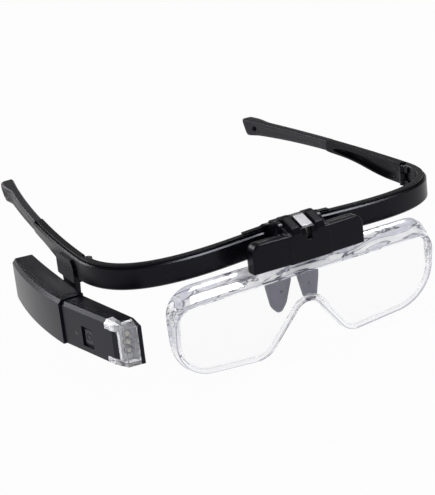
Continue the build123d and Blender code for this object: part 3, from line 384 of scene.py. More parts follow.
metals = {
    # name: colour, roughness, stretch and depth of the hair lines, radius of the edges
    "strip_steel": ((0.36, 0.36, 0.38), 0.26, (1, 0.06, 0.06), 0.004 * mm, 0.12 * mm),
    "screw_steel": ((0.55, 0.55, 0.57), 0.30, (1, 1, 0.1), 0.003 * mm, 0.12 * mm),
    "dark_steel": ((0.10, 0.10, 0.11), 0.36, (1, 1, 0.1), 0.003 * mm, 0.12 * mm),
}
mix_family(brushed_steel, metals)

# %% [markdown]
# The magnifier and the lamp's window are clear acrylic. Clear plastic is all edges: the
# flat faces only dim the room a little, and a plain clear shader with a very faint ripple
# from the mould does them by itself, because the piece has real thickness. The thick rims
# need more. The dark streaks and pale clouds in them come from many reflections inside,
# which a few rays don't find, so a second shader paints them on: painted reflections with
# a faint painted glow, most where the rim is thick. Two narrow bands of the rim get a darker
# clear plastic, a painted shade for the lines along its edges.

# %% Mix the clear plastics
see_through = {"Transmission_Weight": 1.0, "IOR": 1.49}


def clear_acrylic(name, colour, gloss, ripple, depth):
    """Clear plastic with a faint ripple in its skin and a little haze in patches."""
    finish = Finish(name)
    haze = finish.ramp(finish.noise(2.2 * ripple, 2), 0.45, 0.75)
    tone = finish.tint(haze, colour, [part * 0.99 for part in colour])
    rough = finish.between(haze, gloss, gloss + 0.01)
    normal = finish.bump(finish.noise(ripple, 1), depth)
    return finish.close(tone, rough, normal, **see_through)


clears = {
    # name: colour, roughness, size and depth of the ripple
    "lens_clear": ((0.975, 0.975, 0.980), 0.0, 14 * mm, 0.004 * mm),
    # a darker clear plastic for two bands of the rim: painted shade for the lines along its edges
    "lens_edge_painted_shade": ((0.30, 0.30, 0.38), 0.0, 6 * mm, 0.002 * mm),
    "dot_clear": ((0.03, 0.03, 0.04), 0.12, 1.0 * mm, 0.02 * mm),
}
mix_family(clear_acrylic, clears)

# %% Draw the trapped light of the thick rims
painted_streak_colour = (0.05, 0.05, 0.10)
painted_cloud_colours = ((0.99, 0.99, 1.0), (0.66, 0.66, 0.76))
painted_body_cloud_colours = ((0.93, 0.93, 0.96), (0.98, 0.98, 1.0))
painted_streak_half = 0.065
painted_rim_glow = 0.22


def rim_with_painted_streaks(name, size, axis, first_at, second_at, shares):
    """A clear moulding's thick rim: painted reflections, thin dark lines and pale clouds with a
    faint painted glow, over a clear body tinted with painted clouds. A line is where warped
    noise is near a half. Along one axis the share of lines and clouds grows."""
    finish = Finish(name)
    flow = finish.noise(size, 2, (0.3, 1.0, 1.5), 1.4)
    clouds = finish.noise(1.6 * size, 2, (0.4, 1.0, 1.4))
    ripple = finish.noise(0.5 * size, 2)
    painted_line_mask = 1.0 - finish.ramp(abs(flow - 0.5), 0.0, painted_streak_half)
    painted_cloud_tint = finish.tint(finish.ramp(flow, 0.5, 0.62), *painted_cloud_colours)
    painted_streak_tint = finish.tint(painted_line_mask * finish.ramp(clouds, 0.33, 0.47), painted_cloud_tint, painted_streak_colour)
    # the streaks' colour also glows a little: a painted glow, as the plastic is no lamp
    glow = {"Specular_IOR_Level": 0.6, "Emission_Color": painted_streak_tint, "Emission_Strength": painted_rim_glow}
    dull = finish.between(ripple, 0.10, 0.20)
    painted_streak_shader = finish.skin(painted_streak_tint, dull, finish.bump(ripple, 0.05 * mm), **glow)
    pale, bright = finish.tint(clouds, *painted_body_cloud_colours), finish.between(ripple, 0.0, 0.02)
    body = finish.skin(pale, bright, finish.bump(ripple, 0.003 * mm), **see_through)
    zone = finish.ramp(finish.height_of(axis), first_at, second_at)
    share = finish.between(zone, *shares) * finish.between(ripple, 0.7, 1.2)
    return finish.close_two(share, body, painted_streak_shader)


rims = {
    # name: size of the streaks, axis, where the growth starts and ends, share at each end
    "lens_rim": (6 * mm, "Z", -34 * mm, -15 * mm, (0.04, 0.72)),
    "window_clear": (2.6 * mm, "Y", -16.5 * mm, -13.0 * mm, (0.12, 0.85)),
}
mix_family(rim_with_painted_streaks, rims)

# %% [markdown]
# What the lamp holds can only be glimpsed through its window: a board with three small
# light sources and a grey reflector. The rest lies in the dark, but it still gets its real
# finish, as the housings may be taken apart in another scene.

# %% Mix the inner finishes


def flecked(name, colour, fleck, gloss, size, depth, metallic=0.0):
    """A plain inner finish: a colour with flecks of a second one and a light grain."""
    finish = Finish(name)
    flecks = finish.ramp(finish.noise(size, 4), 0.48, 0.62)
    grain = finish.noise(0.3 * size, 2)
    rough = finish.between(grain, gloss - 0.05, gloss + 0.05)
    tone = finish.tint(flecks, colour, fleck)
    return finish.close(tone, rough, finish.bump(grain, depth), Metallic=metallic)


inners = {
    # name: colour, colour of the flecks, roughness, size of the flecks, depth, metallic
    "board_white": ((0.72, 0.73, 0.74), (0.62, 0.63, 0.65), 0.45, 1.5 * mm, 0.01 * mm),
    "board_green": ((0.02, 0.12, 0.05), (0.03, 0.17, 0.07), 0.40, 1.2 * mm, 0.02 * mm),
    "cell_foil": ((0.42, 0.44, 0.47), (0.36, 0.38, 0.42), 0.35, 4 * mm, 0.05 * mm, 0.6),
    "wire_red": ((0.45, 0.02, 0.02), (0.38, 0.02, 0.02), 0.40, 1 * mm, 0.01 * mm),
    "reflector_grey": ((0.27, 0.27, 0.33), (0.22, 0.22, 0.28), 0.30, 2 * mm, 0.02 * mm),
    "washer_black": ((0.02, 0.02, 0.02), (0.03, 0.03, 0.03), 0.55, 1 * mm, 0.01 * mm),
    "source_yellow": ((0.78, 0.74, 0.55), (0.72, 0.70, 0.60), 0.25, 1 * mm, 0.01 * mm),
}
mix_family(flecked, inners)

# %% [markdown]
# The nose pads and the temple tips are soft. The pads are a smooth grey rubber, a little
# lighter in places, and the tips a nearly black one with a fine hatched grip. The hatch is
# two sets of waves that cross, which is how such a tool is engraved.

# %% Mix the rubbers
rib_scale = 0.28 / mm
rib_turn = 0.8


def soft_rubber(name, colour, gloss, grain, depth, hatch):
    """Rubber: clouds of colour, a dusty grain, and where asked two crossing sets of fine ribs."""
    finish = Finish(name)
    clouds = finish.ramp(finish.noise(6 * mm, 3), 0.3, 0.7)
    dust = finish.noise(grain, 3)
    darker, lighter = [part * 0.92 for part in colour], [part * 1.08 for part in colour]
    height = dust * (1.0 - hatch)
    if hatch:
        for turn in (rib_turn, -rib_turn):
            wave = {"Vector": finish.mapped(Rotation=(turn, 0, 0)), "Scale": rib_scale}
            ribs = finish.node("ShaderNodeTexWave", {"bands_direction": "Y"}, wave)
            height = height + ribs * (0.5 * hatch)
    tone = finish.tint(clouds, darker, lighter)
    rough = finish.between(dust, gloss - 0.06, gloss + 0.06)
    return finish.close(tone, rough, finish.bump(height, depth), Specular_IOR_Level=0.3)


rubbers = {
    # name: colour, roughness, size and depth of the grain, share of the hatch
    "pad_rubber": ((0.170, 0.166, 0.232), 0.55, 0.3 * mm, 0.010 * mm, 0.0),
    "tip_rubber": ((0.0200, 0.0200, 0.0270), 0.42, 0.4 * mm, 0.040 * mm, 0.8),
}
mix_family(soft_rubber, rubbers)

# %% [markdown]
# Every hard piece keeps its own solid and only takes a finish. A table says which nodes
# wear which finish, and a loop puts the finish in their objects' slots.

# %% Dress the hard pieces
on_bar = ("brow_bar", "hinge_bracket", "nose_bridge")
on_temples = ("left_temple_arm", "right_temple_arm", "lamp_bracket")
worn = {
    "frame_black": on_bar + on_temples,
    "holder_black": ("lens_holder", "holder_back_plate"),
    "lamp_black": ("lamp_rear_housing", "lamp_front_housing", "lamp_inner_cover"),
    "button_black": ("power_button",),
    "strip_steel": ("detent_strip",),
    "screw_steel": ("charging_socket",),
    "dark_steel": ("bracket_screws", "flip_pin"),
    "window_clear": ("lamp_window",),
    "dot_clear": ("indicator_window",),
    "board_white": ("led_board",),
    "reflector_grey": ("reflector",),
    "board_green": ("control_board",),
    "washer_black": ("tact_switch", "tilt_washer"),
    "cell_foil": ("battery_cell",),
    "wire_red": ("lamp_wires",),
}
for finish_name, nodes in worn.items():
    for node in nodes:
        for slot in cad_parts[node].material_slots:
            slot.material = finishes[finish_name]
print("dressed:", sum(len(nodes) for nodes in worn.values()), "nodes")

# %% [markdown]
# New pieces are grids of points worked out with numpy. Two helpers turn a grid into a
# mesh: one makes the quads between the rows and columns, and one welds the seams, turns
# the faces outward and gives the piece its body and finish.

# %% Turn grids into pieces
weld = 0.001 * mm


def grid_quads(rows, columns, ring=False, start=0):
    """The quads of a grid of points. A ring also joins the last column to the first."""
    row = np.arange(rows - 1)[:, None]
    column = np.arange(columns if ring else columns - 1)[None, :]
    here = start + row * columns + column
    beside = start + row * columns + (column + 1) % columns
    return np.stack([here, beside, beside + columns, here + columns], axis=-1).reshape(-1, 4)


def make_piece(name, body, points, quads, wears, crease_deg, zones=None):
    """A piece from points in millimetres: welded, facing out, smooth but for sharp creases."""
    mesh = bpy.data.meshes.new(name)
    metres = (np.asarray(points).reshape(-1, 3) * mm).tolist()
    mesh.from_pydata(metres, [], np.asarray(quads).tolist())
    for finish_name in wears:
        mesh.materials.append(finishes[finish_name])
    if zones is not None:
        mesh.polygons.foreach_set("material_index", np.asarray(zones, np.int32))
    work = bmesh.new()
    work.from_mesh(mesh)
    bmesh.ops.remove_doubles(work, verts=work.verts, dist=weld)
    bmesh.ops.dissolve_degenerate(work, dist=0.5 * weld, edges=work.edges)
    bmesh.ops.recalc_face_normals(work, faces=work.faces)
    work.to_mesh(mesh)
    work.free()
    mesh.shade_smooth()
    mesh.set_sharp_from_angle(angle=math.radians(crease_deg))
    piece = bpy.data.objects.new(name, mesh)
    bpy.context.scene.collection.objects.link(piece)
    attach(piece, body)
    print(name, len(mesh.polygons), "faces")
    return piece


print("grids weld at", weld / mm, "mm")

# %% [markdown]
# Several pieces hold a closed outline raised into a body: the pads, their dimples and the
# lens tongues. One helper takes a ring of points and a list of levels, each with an inset
# and a height. A level that shrinks to the ring's middle closes an end. Another helper
# writes the body into place, by an origin and three directions.

# %% Raise rings into bodies
face_shrinks = (1.0, 0.85, 0.65, 0.4, 0.15)


def full_turn(count):
    """Even angles once round, without the last one, which would be the first again."""
    return np.linspace(0, 2 * math.pi, count + 1)[:-1]


def outward(ring):
    """The outward direction at each point of a ring: the direction along it, turned by a
    quarter. The ring runs to the right along its top, where Y points down."""
    along = np.roll(ring, -1, axis=0) - np.roll(ring, 1, axis=0)
    along /= np.linalg.norm(along, axis=1)[:, None]
    return np.stack([along[:, 1], -along[:, 0]], axis=1)


def raised(ring, levels):
    """Rings at each level, inset and then shrunk towards the middle: (inset, shrink, height)."""
    middle = ring.mean(axis=0)
    rings = []
    for inset, shrink, height in levels:
        flat = (ring - outward(ring) * inset - middle) * (1 - shrink) + middle
        rings.append(np.concatenate([flat, np.full((len(ring), 1), float(height))], axis=1))
    return np.array(rings)


def rounded_levels(half, edge):
    """Levels of a slab with rounded edges: a quarter circle at each edge, and closed faces."""
    turns = np.linspace(0, math.pi / 2, 6)
    face = [(edge, shrink, half) for shrink in face_shrinks]
    side = [(edge * (1 - math.sin(t)), 0.0, half - edge * (1 - math.cos(t))) for t in turns]
    upper = face + side
    return upper + [(inset, shrink, -height) for inset, shrink, height in upper[::-1]]


def placed(points, origin, across, along, up_way):
    """Points from a piece's own three directions to the model's frame."""
    axes = np.array([across, along, up_way], float)
    return np.asarray(origin, float) + points.reshape(-1, 3) @ axes


def ring_quads(rings):
    """The quads of a stack of closed rings."""
    return grid_quads(rings.shape[0], rings.shape[1], ring=True)


def joined(bodies):
    """Several bodies' points and quads as one list of each."""
    points, quads, start = [], [], 0
    for body_points, body_quads in bodies:
        points.append(body_points)
        quads.append(body_quads + start)
        start += len(body_points)
    return np.concatenate(points), np.concatenate(quads)


print("rings can be raised")

# %% [markdown]
# The magnifier is one clear moulding, and what shows of it is its rim, so it gets more
# care than any other piece. Its outline is a chain of corners, each rounded by an arc. The
# outline is cut into a top, a bottom and two sides, so that a patch of smooth rows and
# columns can fill the plate inside it, nose arch included.

# %% Draw the magnifier's outline
lens_half = 57.8
lens_high = 32.6
lens_rise = 5.5
lens_flare = 0.8
lens_hem = 0.8
lens_side_high = 29.6
lens_lobe_half = 18.2
lens_lobe_dip = 0.4
lens_arch_top = 10.1
lens_front_corner = 8.0
lens_back_corner = 11.0
lens_cheek_r = 17.0
lens_lobe_r = 9.0
lens_arch_r = 6.0
top_steps = 220
side_steps = 44


def rounded_run(corners, radii, arc_steps=24):
    """Points round a closed chain of corners, each replaced by an arc tangent to both edges."""
    corners = np.asarray(corners, float)
    points = []
    for index, radius in enumerate(radii):
        before = corners[index - 1] - corners[index]
        after = corners[(index + 1) % len(corners)] - corners[index]
        before /= np.linalg.norm(before)
        after /= np.linalg.norm(after)
        half = math.acos(np.clip(before @ after, -1, 1)) / 2
        reach = radius / math.tan(half)
        to_centre = (before + after) / np.linalg.norm(before + after) * radius / math.sin(half)
        centre = corners[index] + to_centre
        start = corners[index] + before * reach - centre
        end = corners[index] + after * reach - centre
        first = math.atan2(start[1], start[0])
        turn = (math.atan2(end[1], end[0]) - first + math.pi) % (2 * math.pi) - math.pi
        angles = first + turn * np.linspace(0, 1, arc_steps + 1)
        points.append(centre + radius * np.stack([np.cos(angles), np.sin(angles)], axis=1))
    return np.concatenate(points)


def lens_outline(flare, rise, hem, corner_r):
    """The magnifier's outline, X across and Y down: flat top, two lobes and the nose arch."""
    half = lens_half + flare
    side = lens_side_high + hem
    lobe = lens_high + lens_lobe_dip + hem
    corners = [
        (-half, -rise),
        (half, -rise),
        (half, side),
        (lens_lobe_half, lobe),
        (0, lens_arch_top),
        (-lens_lobe_half, lobe),
        (-half, side),
    ]
    arch_radii = [lens_cheek_r, lens_lobe_r, lens_arch_r, lens_lobe_r, lens_cheek_r]
    return rounded_run(corners, [corner_r, corner_r, *arch_radii])


def even_steps(part, count):
    """The same curve at evenly spaced points."""
    reach = np.concatenate([[0], np.cumsum(np.linalg.norm(np.diff(part, axis=0), axis=1))])
    at = np.linspace(0, reach[-1], count + 1)
    return np.stack([np.interp(at, reach, part[:, axis]) for axis in (0, 1)], axis=1)


def four_sides(run):
    """The outline cut at the middle of its outer four arcs into top, right, bottom and left."""
    per_arc = len(run) // 7
    cuts = [arc * per_arc + per_arc // 2 for arc in (0, 1, 2, 6)] + [len(run) + per_arc // 2]
    loop = np.concatenate([run, run])
    parts = [loop[start : end + 1] for start, end in zip(cuts, cuts[1:])]
    counts = (top_steps, side_steps, top_steps, side_steps)
    return [even_steps(part, count) for part, count in zip(parts, counts)]


front_sides = four_sides(lens_outline(0, 0, 0, lens_front_corner))
back_sides = four_sides(lens_outline(lens_flare, lens_rise, lens_hem, lens_back_corner))
front_ring = np.concatenate([side[:-1] for side in front_sides])
back_ring = np.concatenate([side[:-1] for side in back_sides])
print("lens ring:", len(front_ring), "points")

# %% [markdown]
# The wall is a profile carried round that outline. Each step of the profile says how far
# in from the outline it lies, how deep behind the front face, and how far the outline has
# grown from the front one to the back one. A little step half way gives the second line
# that the real rim shows. The wall is deep along the top and gets low round the bottom.
# The plate's two faces are patches that reuse the ring's points.

# %% Build the magnifier
lens_top = np.array([0, -15.3, -10.9])
lens_lean = 0.14
lens_plate = 2.2
lens_low_share = 0.16
lens_low_growth = 0.4
lens_profile = [
    (1.00, 0.00, 0.00),
    (0.55, 0.08, 0.02),
    (0.20, 0.32, 0.05),
    (0.04, 0.70, 0.10),
    (0.00, 1.10, 0.15),
    (0.00, 3.00, 0.40),
    (0.10, 3.15, 0.44),
    (0.10, 3.25, 0.56),
    (0.00, 3.45, 0.60),
    (0.00, 6.00, 0.95),
    (0.10, 6.40, 0.98),
    (0.40, 6.60, 1.00),
    (1.50, 6.60, 1.00),
    (1.80, 6.45, 0.99),
    (1.90, 6.15, 0.97),
    (1.90, 3.20, 0.52),
    (2.00, 2.60, 0.42),
    (2.35, 2.28, 0.36),
    (2.90, 2.20, 0.34),
]
painted_shade_bands = (1, 10)
tongue_depths = (-14.65, -13.05)
tongue_spans = ((10.95, 20.05, -6.6, 3.4), (9.75, 21.25, -10.6, -6.2))
tongue_corner_r = 0.4
tongue_edge_r = 0.3


def rim_share():
    """How much of the wall is left at each point of the ring: all along the top, little below."""
    fall = 0.5 - 0.5 * np.cos(np.linspace(0, math.pi, side_steps, endpoint=False))
    full, low = np.ones(top_steps), np.zeros(top_steps)
    return np.concatenate([full, 1 - fall, low, fall])


def lens_place(flat, depth):
    """From the magnifier's own leaning plane to the model's frame."""
    across = np.array([1, 0, 0])
    into = np.array([0, 1, lens_lean]) / math.hypot(1, lens_lean)
    down = np.cross(into, across)
    return lens_top + flat[..., :1] * across + flat[..., 1:2] * down + depth[..., None] * into


def filled_patch(ring):
    """A patch with the ring as its edge: opposite sides are blended, less the corners' share."""
    top = ring[: top_steps + 1]
    right_side = ring[top_steps : top_steps + side_steps + 1]
    low = ring[top_steps + side_steps : 2 * top_steps + side_steps + 1][::-1]
    left_side = np.concatenate([ring[2 * top_steps + side_steps :], ring[:1]])[::-1]
    across = np.linspace(0, 1, top_steps + 1)[None, :, None]
    down = np.linspace(0, 1, side_steps + 1)[:, None, None]
    sides = (1 - across) * left_side[:, None] + across * right_side[:, None]
    ends = (1 - down) * top[None] + down * low[None]
    corners = (1 - down) * ((1 - across) * top[0] + across * top[-1])
    corners = corners + down * ((1 - across) * low[0] + across * low[-1])
    return sides + ends - corners


def lens_tongues():
    """The two tongues in the holder's pockets and their wider shoulders, all with small rounds."""
    front, rear = tongue_depths
    made = []
    for side in (-1, 1):
        for near, far, low, high in tongue_spans:
            first, last = sorted((side * near, side * far))
            corners = [(first, front), (last, front), (last, rear), (first, rear)]
            ring = rounded_run(corners, [tongue_corner_r] * 4, 6)
            rings = raised(ring, rounded_levels((high - low) / 2, tongue_edge_r))
            middle = (0, 0, (low + high) / 2)
            made.append((placed(rings, middle, *np.eye(3)), ring_quads(rings)))
    return made


def magnifier():
    """The clear one-piece magnifier: the carried rim profile and the plate's two faces."""
    rings = []
    left = rim_share()[:, None]
    deep_part = lens_low_share + (1 - lens_low_share) * left
    for inset, depth, growth in lens_profile:
        grown = growth * (lens_low_growth + (1 - lens_low_growth) * left)
        ring = front_ring * (1 - grown) + back_ring * grown
        ring = ring - outward(ring) * inset
        sunk = min(depth, lens_plate) + max(depth - lens_plate, 0) * deep_part
        rings.append(np.concatenate([ring, sunk], axis=1))
    wall = np.array(rings)
    quads = [ring_quads(wall)]
    points = [lens_place(wall[..., :2], wall[..., 2]).reshape(-1, 3)]
    start = len(points[0])
    for ring in (wall[0], wall[-1]):
        patch = filled_patch(ring[:, :2])
        depth = np.full(patch.shape[:2], ring[0, 2])
        points.append(lens_place(patch, depth).reshape(-1, 3))
        quads.append(grid_quads(side_steps + 1, top_steps + 1, start=start))
        start += len(points[-1])
    tongue_points, tongue_quads = joined(lens_tongues())
    points.append(tongue_points)
    quads.append(tongue_quads + start)
    zones = np.concatenate([np.full(len(part), zone) for part, zone in zip(quads, (1, 0, 0, 1))])
    # these bands wear the darker clear plastic, painted shade for the lines along the rim's edges
    for band in painted_shade_bands:
        zones[band * len(front_ring) : (band + 1) * len(front_ring)] = 2
    return np.concatenate(points), np.concatenate(quads), zones


points, quads, zones = magnifier()
lens_wears = ["lens_clear", "lens_rim", "lens_edge_painted_shade"]
lens_piece = make_piece("magnifier", "magnifier", points, quads, lens_wears, 60, zones)
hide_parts("magnifier_lens")

# %% [markdown]
# The two nose pads are one outline each: straight inside, bowed outside and round at the
# tip. They are pressed from soft rubber, so their edges are round. A small dimple in each
# pad wears a near black finish, which is painted shade in its hollow.

# %% Mould the nose pads
pad_wide = 10.8
pad_long = 22.8
pad_thick = 2.4
pad_edge = 0.8
pad_form = [(0, 0), (0.95, 0), (1.09, 0.45), (0.93, 0.86), (0.62, 1.02), (0.34, 0.82), (0.1, 0.42)]
pad_corners = np.array(pad_form) * (pad_wide, pad_long)
pad_radii = [1.0, 1.0, 14.0, 5.0, 1.9, 5.0, 14.0]
pad_top = (0.6, -3.2, -7.7)
pad_yaw = math.radians(12)
pad_back = math.radians(2)
dimple_at = (5.6, 13.5)
dimple_r = 0.55
dimple_face = [(0, 1, 1.28), (0, 0.5, 1.28), (0, 0.15, 1.26)]
dimple_levels = dimple_face + [(0, 0, 1.2), (0, 0, 1.0), (0, 1, 1.0)]


def nose_pad(side):
    """One pad and its dimple: the rounded outline raised both ways, leaning back and turned
    to the nose. Also says which quads are the dimple's, which wear the painted shade."""
    slab = raised(rounded_run(pad_corners, pad_radii, 16), rounded_levels(pad_thick / 2, pad_edge))
    angle = full_turn(24)
    circle = np.stack([np.cos(angle), -np.sin(angle)], axis=1) * dimple_r + dimple_at
    out_way = np.array([side * math.cos(pad_yaw), math.sin(pad_yaw), 0])
    rear_way = np.array([-side * math.sin(pad_yaw), math.cos(pad_yaw), 0])
    down = rear_way * math.sin(pad_back) - np.array([0, 0, math.cos(pad_back)])
    ways = (out_way, down, np.cross(out_way, down) * -side)
    origin = (side * pad_top[0], pad_top[1], pad_top[2])
    stacks = (slab, raised(circle, dimple_levels))
    points, quads = joined([(placed(rings, origin, *ways), ring_quads(rings)) for rings in stacks])
    return points, quads, np.arange(len(quads)) >= len(ring_quads(slab))


for side, name in ((1, "left"), (-1, "right")):
    points, quads, dark = nose_pad(side)
    # the dimple wears washer_black, a near black finish: painted shade in its hollow
    pad_wears = ["pad_rubber", "washer_black"]
    pad = make_piece(f"{name}_pad", "brow_frame", points, quads, pad_wears, 60, dark)
    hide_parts(f"{name}_nose_pad")

# %% [markdown]
# The temple tips are sleeves of rubber that grow from the arm's section to a paddle behind
# the ear. Each is a stack of sections along the arm's own curve. A section is a rounded
# rectangle, which is a circle whose sine and cosine are raised to a small power. A shallow
# channel runs along both sides, the paddle flares and has a scoop in its outer face, and
# the end is cut on a slant and rounded over.

# %% Shape the temple tips
arm_long = 49.7
seam_y = 22.5
tip_long = 53.9
tip_half = 2.0
tip_middle = 2.15
tip_high = (4.9, 7.4)
tip_square = 0.45
tip_round = 1.2
tip_lean = 3.8
tip_flare = 2.4
channel_deep = 0.16
scoop_deep = 1.1
section_count = 90


def arm_line(reach):
    """Where the arm's outer face and its top ledge lie at a distance behind the seam: each a
    straight line plus a small share of the distance squared."""
    return 76 - 0.033 * reach - reach**2 / 912, 4.7 + 0.021 * reach + reach**2 / 5640


def smooth(value, low, high):
    """0 below low, 1 above high and a smooth rise between."""
    share = np.clip((value - low) / (high - low), 0, 1)
    return share * share * (3 - 2 * share)


def tip_runs():
    """How far along each section lies, and how large it is: closed and rounded at both ends."""
    turns = np.linspace(0, math.pi / 2, 8)[1:]
    straight_long = tip_long - tip_round
    straight = np.linspace(0.6, straight_long, section_count)
    round_over = 1 - tip_round / tip_half * (1 - np.cos(turns))
    along = [[0, 0, 0.3], straight, straight_long + tip_round * np.sin(turns), [tip_long]]
    shrink = [[0.0, 0.93, 1.0], np.ones(section_count), round_over, [0.0]]
    return np.concatenate(along), np.concatenate(shrink)[:, None]


def tip_sections():
    """Sections of one tip: X is middle + half * cos^p, Z runs from top to low by sin^p. The
    channel, paddle, scoop and slant rise and fall over distances in millimetres."""
    along, shrink = tip_runs()
    angle = full_turn(96)
    across = (np.sign(np.cos(angle)) * np.abs(np.cos(angle)) ** tip_square)[None]
    tall = (np.sign(np.sin(angle)) * np.abs(np.sin(angle)) ** tip_square)[None]
    line_x, line_z = arm_line(arm_long + along)
    high = tip_high[0] + (tip_high[1] - tip_high[0]) * np.clip(along / tip_long, 0, 1) ** 2
    high, top = high[:, None], line_z[:, None]
    channel = smooth(along, 3, 6) * (1 - smooth(along, tip_long - 9, tip_long - 5))
    groove = 1 - channel_deep * channel[:, None] * (1 - smooth(np.abs(tall), 0.35, 0.5))
    paddle = smooth(along, tip_long - 16, tip_long - 4)[:, None]
    scoop_end = 1 - smooth(along, tip_long - 4, tip_long - 1.5)
    scoop = (smooth(along, tip_long - 10, tip_long - 7) * scoop_end)[:, None]
    flare = tip_flare * paddle * np.maximum(across, 0) * shrink
    flare = flare - scoop_deep * scoop * (across > 0.3) * (1 - smooth(np.abs(tall), 0.1, 0.8))
    x = (line_x - tip_middle)[:, None] + tip_half * shrink * across * groove + flare
    z = top - high / 2 + high / 2 * tall * (1 - (1 - shrink) * tip_half / high * 2)
    z = np.where(shrink == 0, top - high / 2, z)
    slant = tip_lean * smooth(along, tip_long - 12, tip_long)[:, None] * (top - z) / high
    y = seam_y + arm_long + along[:, None] - slant
    return np.stack([x, y, z], axis=-1)


sections = tip_sections()
print("tip sections:", sections.shape[0], "of", sections.shape[1], "points")

# %% [markdown]
# Each tip has a hole for a strap, straight through its paddle. A round hole in a smooth
# grid is easiest as a Boolean cut, whose result is kept as plain mesh.

# %% Cut the strap holes
hole_back = 8.2
hole_drop = 3.4
hole_r = 1.1
drill_long = 12


def bored(piece, place, radius, reach):
    """A round hole through the piece along X."""
    drill = bpy.data.meshes.new("drill")
    work = bmesh.new()
    cone = {"segments": 40, "radius1": radius, "radius2": radius, "depth": reach}
    bmesh.ops.create_cone(work, cap_ends=True, **cone)
    along_x = Matrix.Rotation(math.pi / 2, 3, "Y")
    bmesh.ops.rotate(work, verts=work.verts, cent=(0, 0, 0), matrix=along_x)
    bmesh.ops.translate(work, verts=work.verts, vec=place)
    work.to_mesh(drill)
    work.free()
    cutter = bpy.data.objects.new("drill", drill)
    bpy.context.scene.collection.objects.link(cutter)
    cut = piece.modifiers.new("hole", "BOOLEAN")
    cut.operation = "DIFFERENCE"
    cut.solver = "EXACT"
    cut.object = cutter
    bpy.context.view_layer.update()
    cut_piece = piece.evaluated_get(bpy.context.evaluated_depsgraph_get())
    made = bpy.data.meshes.new_from_object(cut_piece)
    piece.modifiers.clear()
    made.set_sharp_from_angle(angle=math.radians(50))
    piece.data = made
    bpy.data.objects.remove(cutter)


hole_reach = arm_long + tip_long - hole_back
line_x, line_z = arm_line(hole_reach)
for side, name in ((1, "left"), (-1, "right")):
    points = sections * (side, 1, 1)
    body = f"{name}_temple"
    tip = make_piece(f"{name}_tip", body, points, ring_quads(sections), ["tip_rubber"], 50)
    place = (side * (line_x - tip_middle), seam_y + hole_reach, line_z - hole_drop)
    bored(tip, Vector(place) * mm, hole_r * mm, drill_long * mm)
    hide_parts(f"{name}_temple_tip")
    print(tip.name, "bored:", len(tip.data.polygons), "faces")

# %% [markdown]
# The screws are small, but from behind and below they are what shows that the object comes
# apart. Each is one polar surface: its top drops inside a cross, then the profile goes over
# the head's edge, under the head and down the shank.

# %% Turn the screws
up_way, down_way, back_way, left_way = (0, 0, 1), (0, 0, -1), (0, 1, 0), (1, 0, 0)
hinge_x = 72.2
plate_screw_x = 22.25
lamp_seam_y = 18.5
cover_rear_x = -78.2
cover_tip = (-73.9, -20.4)
cover_slope = (cover_tip[0] - cover_rear_x) / (lamp_seam_y - cover_tip[1])


def screw(head_r, head_high, shank_r, long):
    """A cross-head screw along its own axis. Its top's height is minus the recess inside
    either arm of the cross, and the rest is a profile turned round the axis."""
    reach = np.linspace(0, 0.93 * head_r, 26)
    rim = [(head_r, -0.07 * head_r), (head_r, -head_high)]
    shank = [(shank_r, -head_high), (shank_r, -long), (0.0, -long)]
    edge = np.array(rim + shank)
    radii = np.concatenate([reach, edge[:, 0]])[:, None]
    heights = np.concatenate([0 * reach, edge[:, 1]])[:, None]
    angle = full_turn(96)
    x, y = radii * np.cos(angle), radii * np.sin(angle)
    thin = np.minimum(np.abs(x), np.abs(y)) / head_r
    far = np.maximum(np.abs(x), np.abs(y)) / head_r
    cross = (1 - smooth(thin, 0.10, 0.17)) * (1 - smooth(far, 0.58, 0.68))
    cross[len(reach) :] = 0
    return np.stack([x, y, heights - 0.6 * head_high * cross], axis=-1)


def turned_screws(name, node, body, size, places):
    """One piece for all the screws of a node, each at its place and pointing its own way."""
    made = []
    for origin, way in places:
        way = np.array(way, float) / np.linalg.norm(way)
        aside = np.cross(way, back_way if abs(way[1]) < 0.9 else up_way)
        aside /= np.linalg.norm(aside)
        rings = screw(*size)
        made.append((placed(rings, origin, aside, np.cross(way, aside), way), ring_quads(rings)))
    piece = make_piece(name, body, *joined(made), ["dark_steel"], 35)
    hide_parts(node)


def clamp_place(y):
    """A place under the arm, where a clamp screw's head sits."""
    return -arm_line(y - seam_y)[0] + 0.975, y, -6.3


def lid_place(y):
    """A place on the lamp's inner cover, which leans in towards its front."""
    return cover_rear_x + (lamp_seam_y - y) * cover_slope, y, -16.2


pin_size = (1.35, 0.6, 0.75, 8.0)
small_head = (1.4, 0.6, 0.7)
lid_way = (1, cover_slope, 0)
screws = [
    # name, node, body, (radius and height of the head, radius and length of the shank)
    ("left_hinge_pin", "left_hinge_screw", "brow_frame", pin_size),
    ("right_hinge_pin", "right_hinge_screw", "brow_frame", pin_size),
    ("plate_screws", "holder_screws", "flip_holder", (*small_head, 3.4)),
    ("clamp_screws", "clip_screws", "right_temple", (*small_head, 3.6)),
    ("lid_screws", "cover_screws", "lamp", (*small_head, 3.0)),
    ("tilt_bolt", "tilt_screw", "right_temple", (2.6, 0.8, 1.2, 5.9)),
    ("carrier_screw", "nose_screw", "brow_frame", (*small_head, 5.6)),
]
screw_places = [
    # for each row above, where a head's top lies and the way that it faces
    [((hinge_x, seam_y, 4.0), up_way)],
    [((-hinge_x, seam_y, 4.0), up_way)],
    [((x, -11.4, -3.4), back_way) for x in (-plate_screw_x, plate_screw_x)],
    [(clamp_place(y), down_way) for y in (29.4, 40.8)],
    [(lid_place(y), lid_way) for y in (-10.9, 15.0)],
    [((-73.1, 34.0, -15.4), left_way)],
    [((0, -2.1, -7.3), down_way)],
]
for row, places in zip(screws, screw_places):
    turned_screws(*row, places)

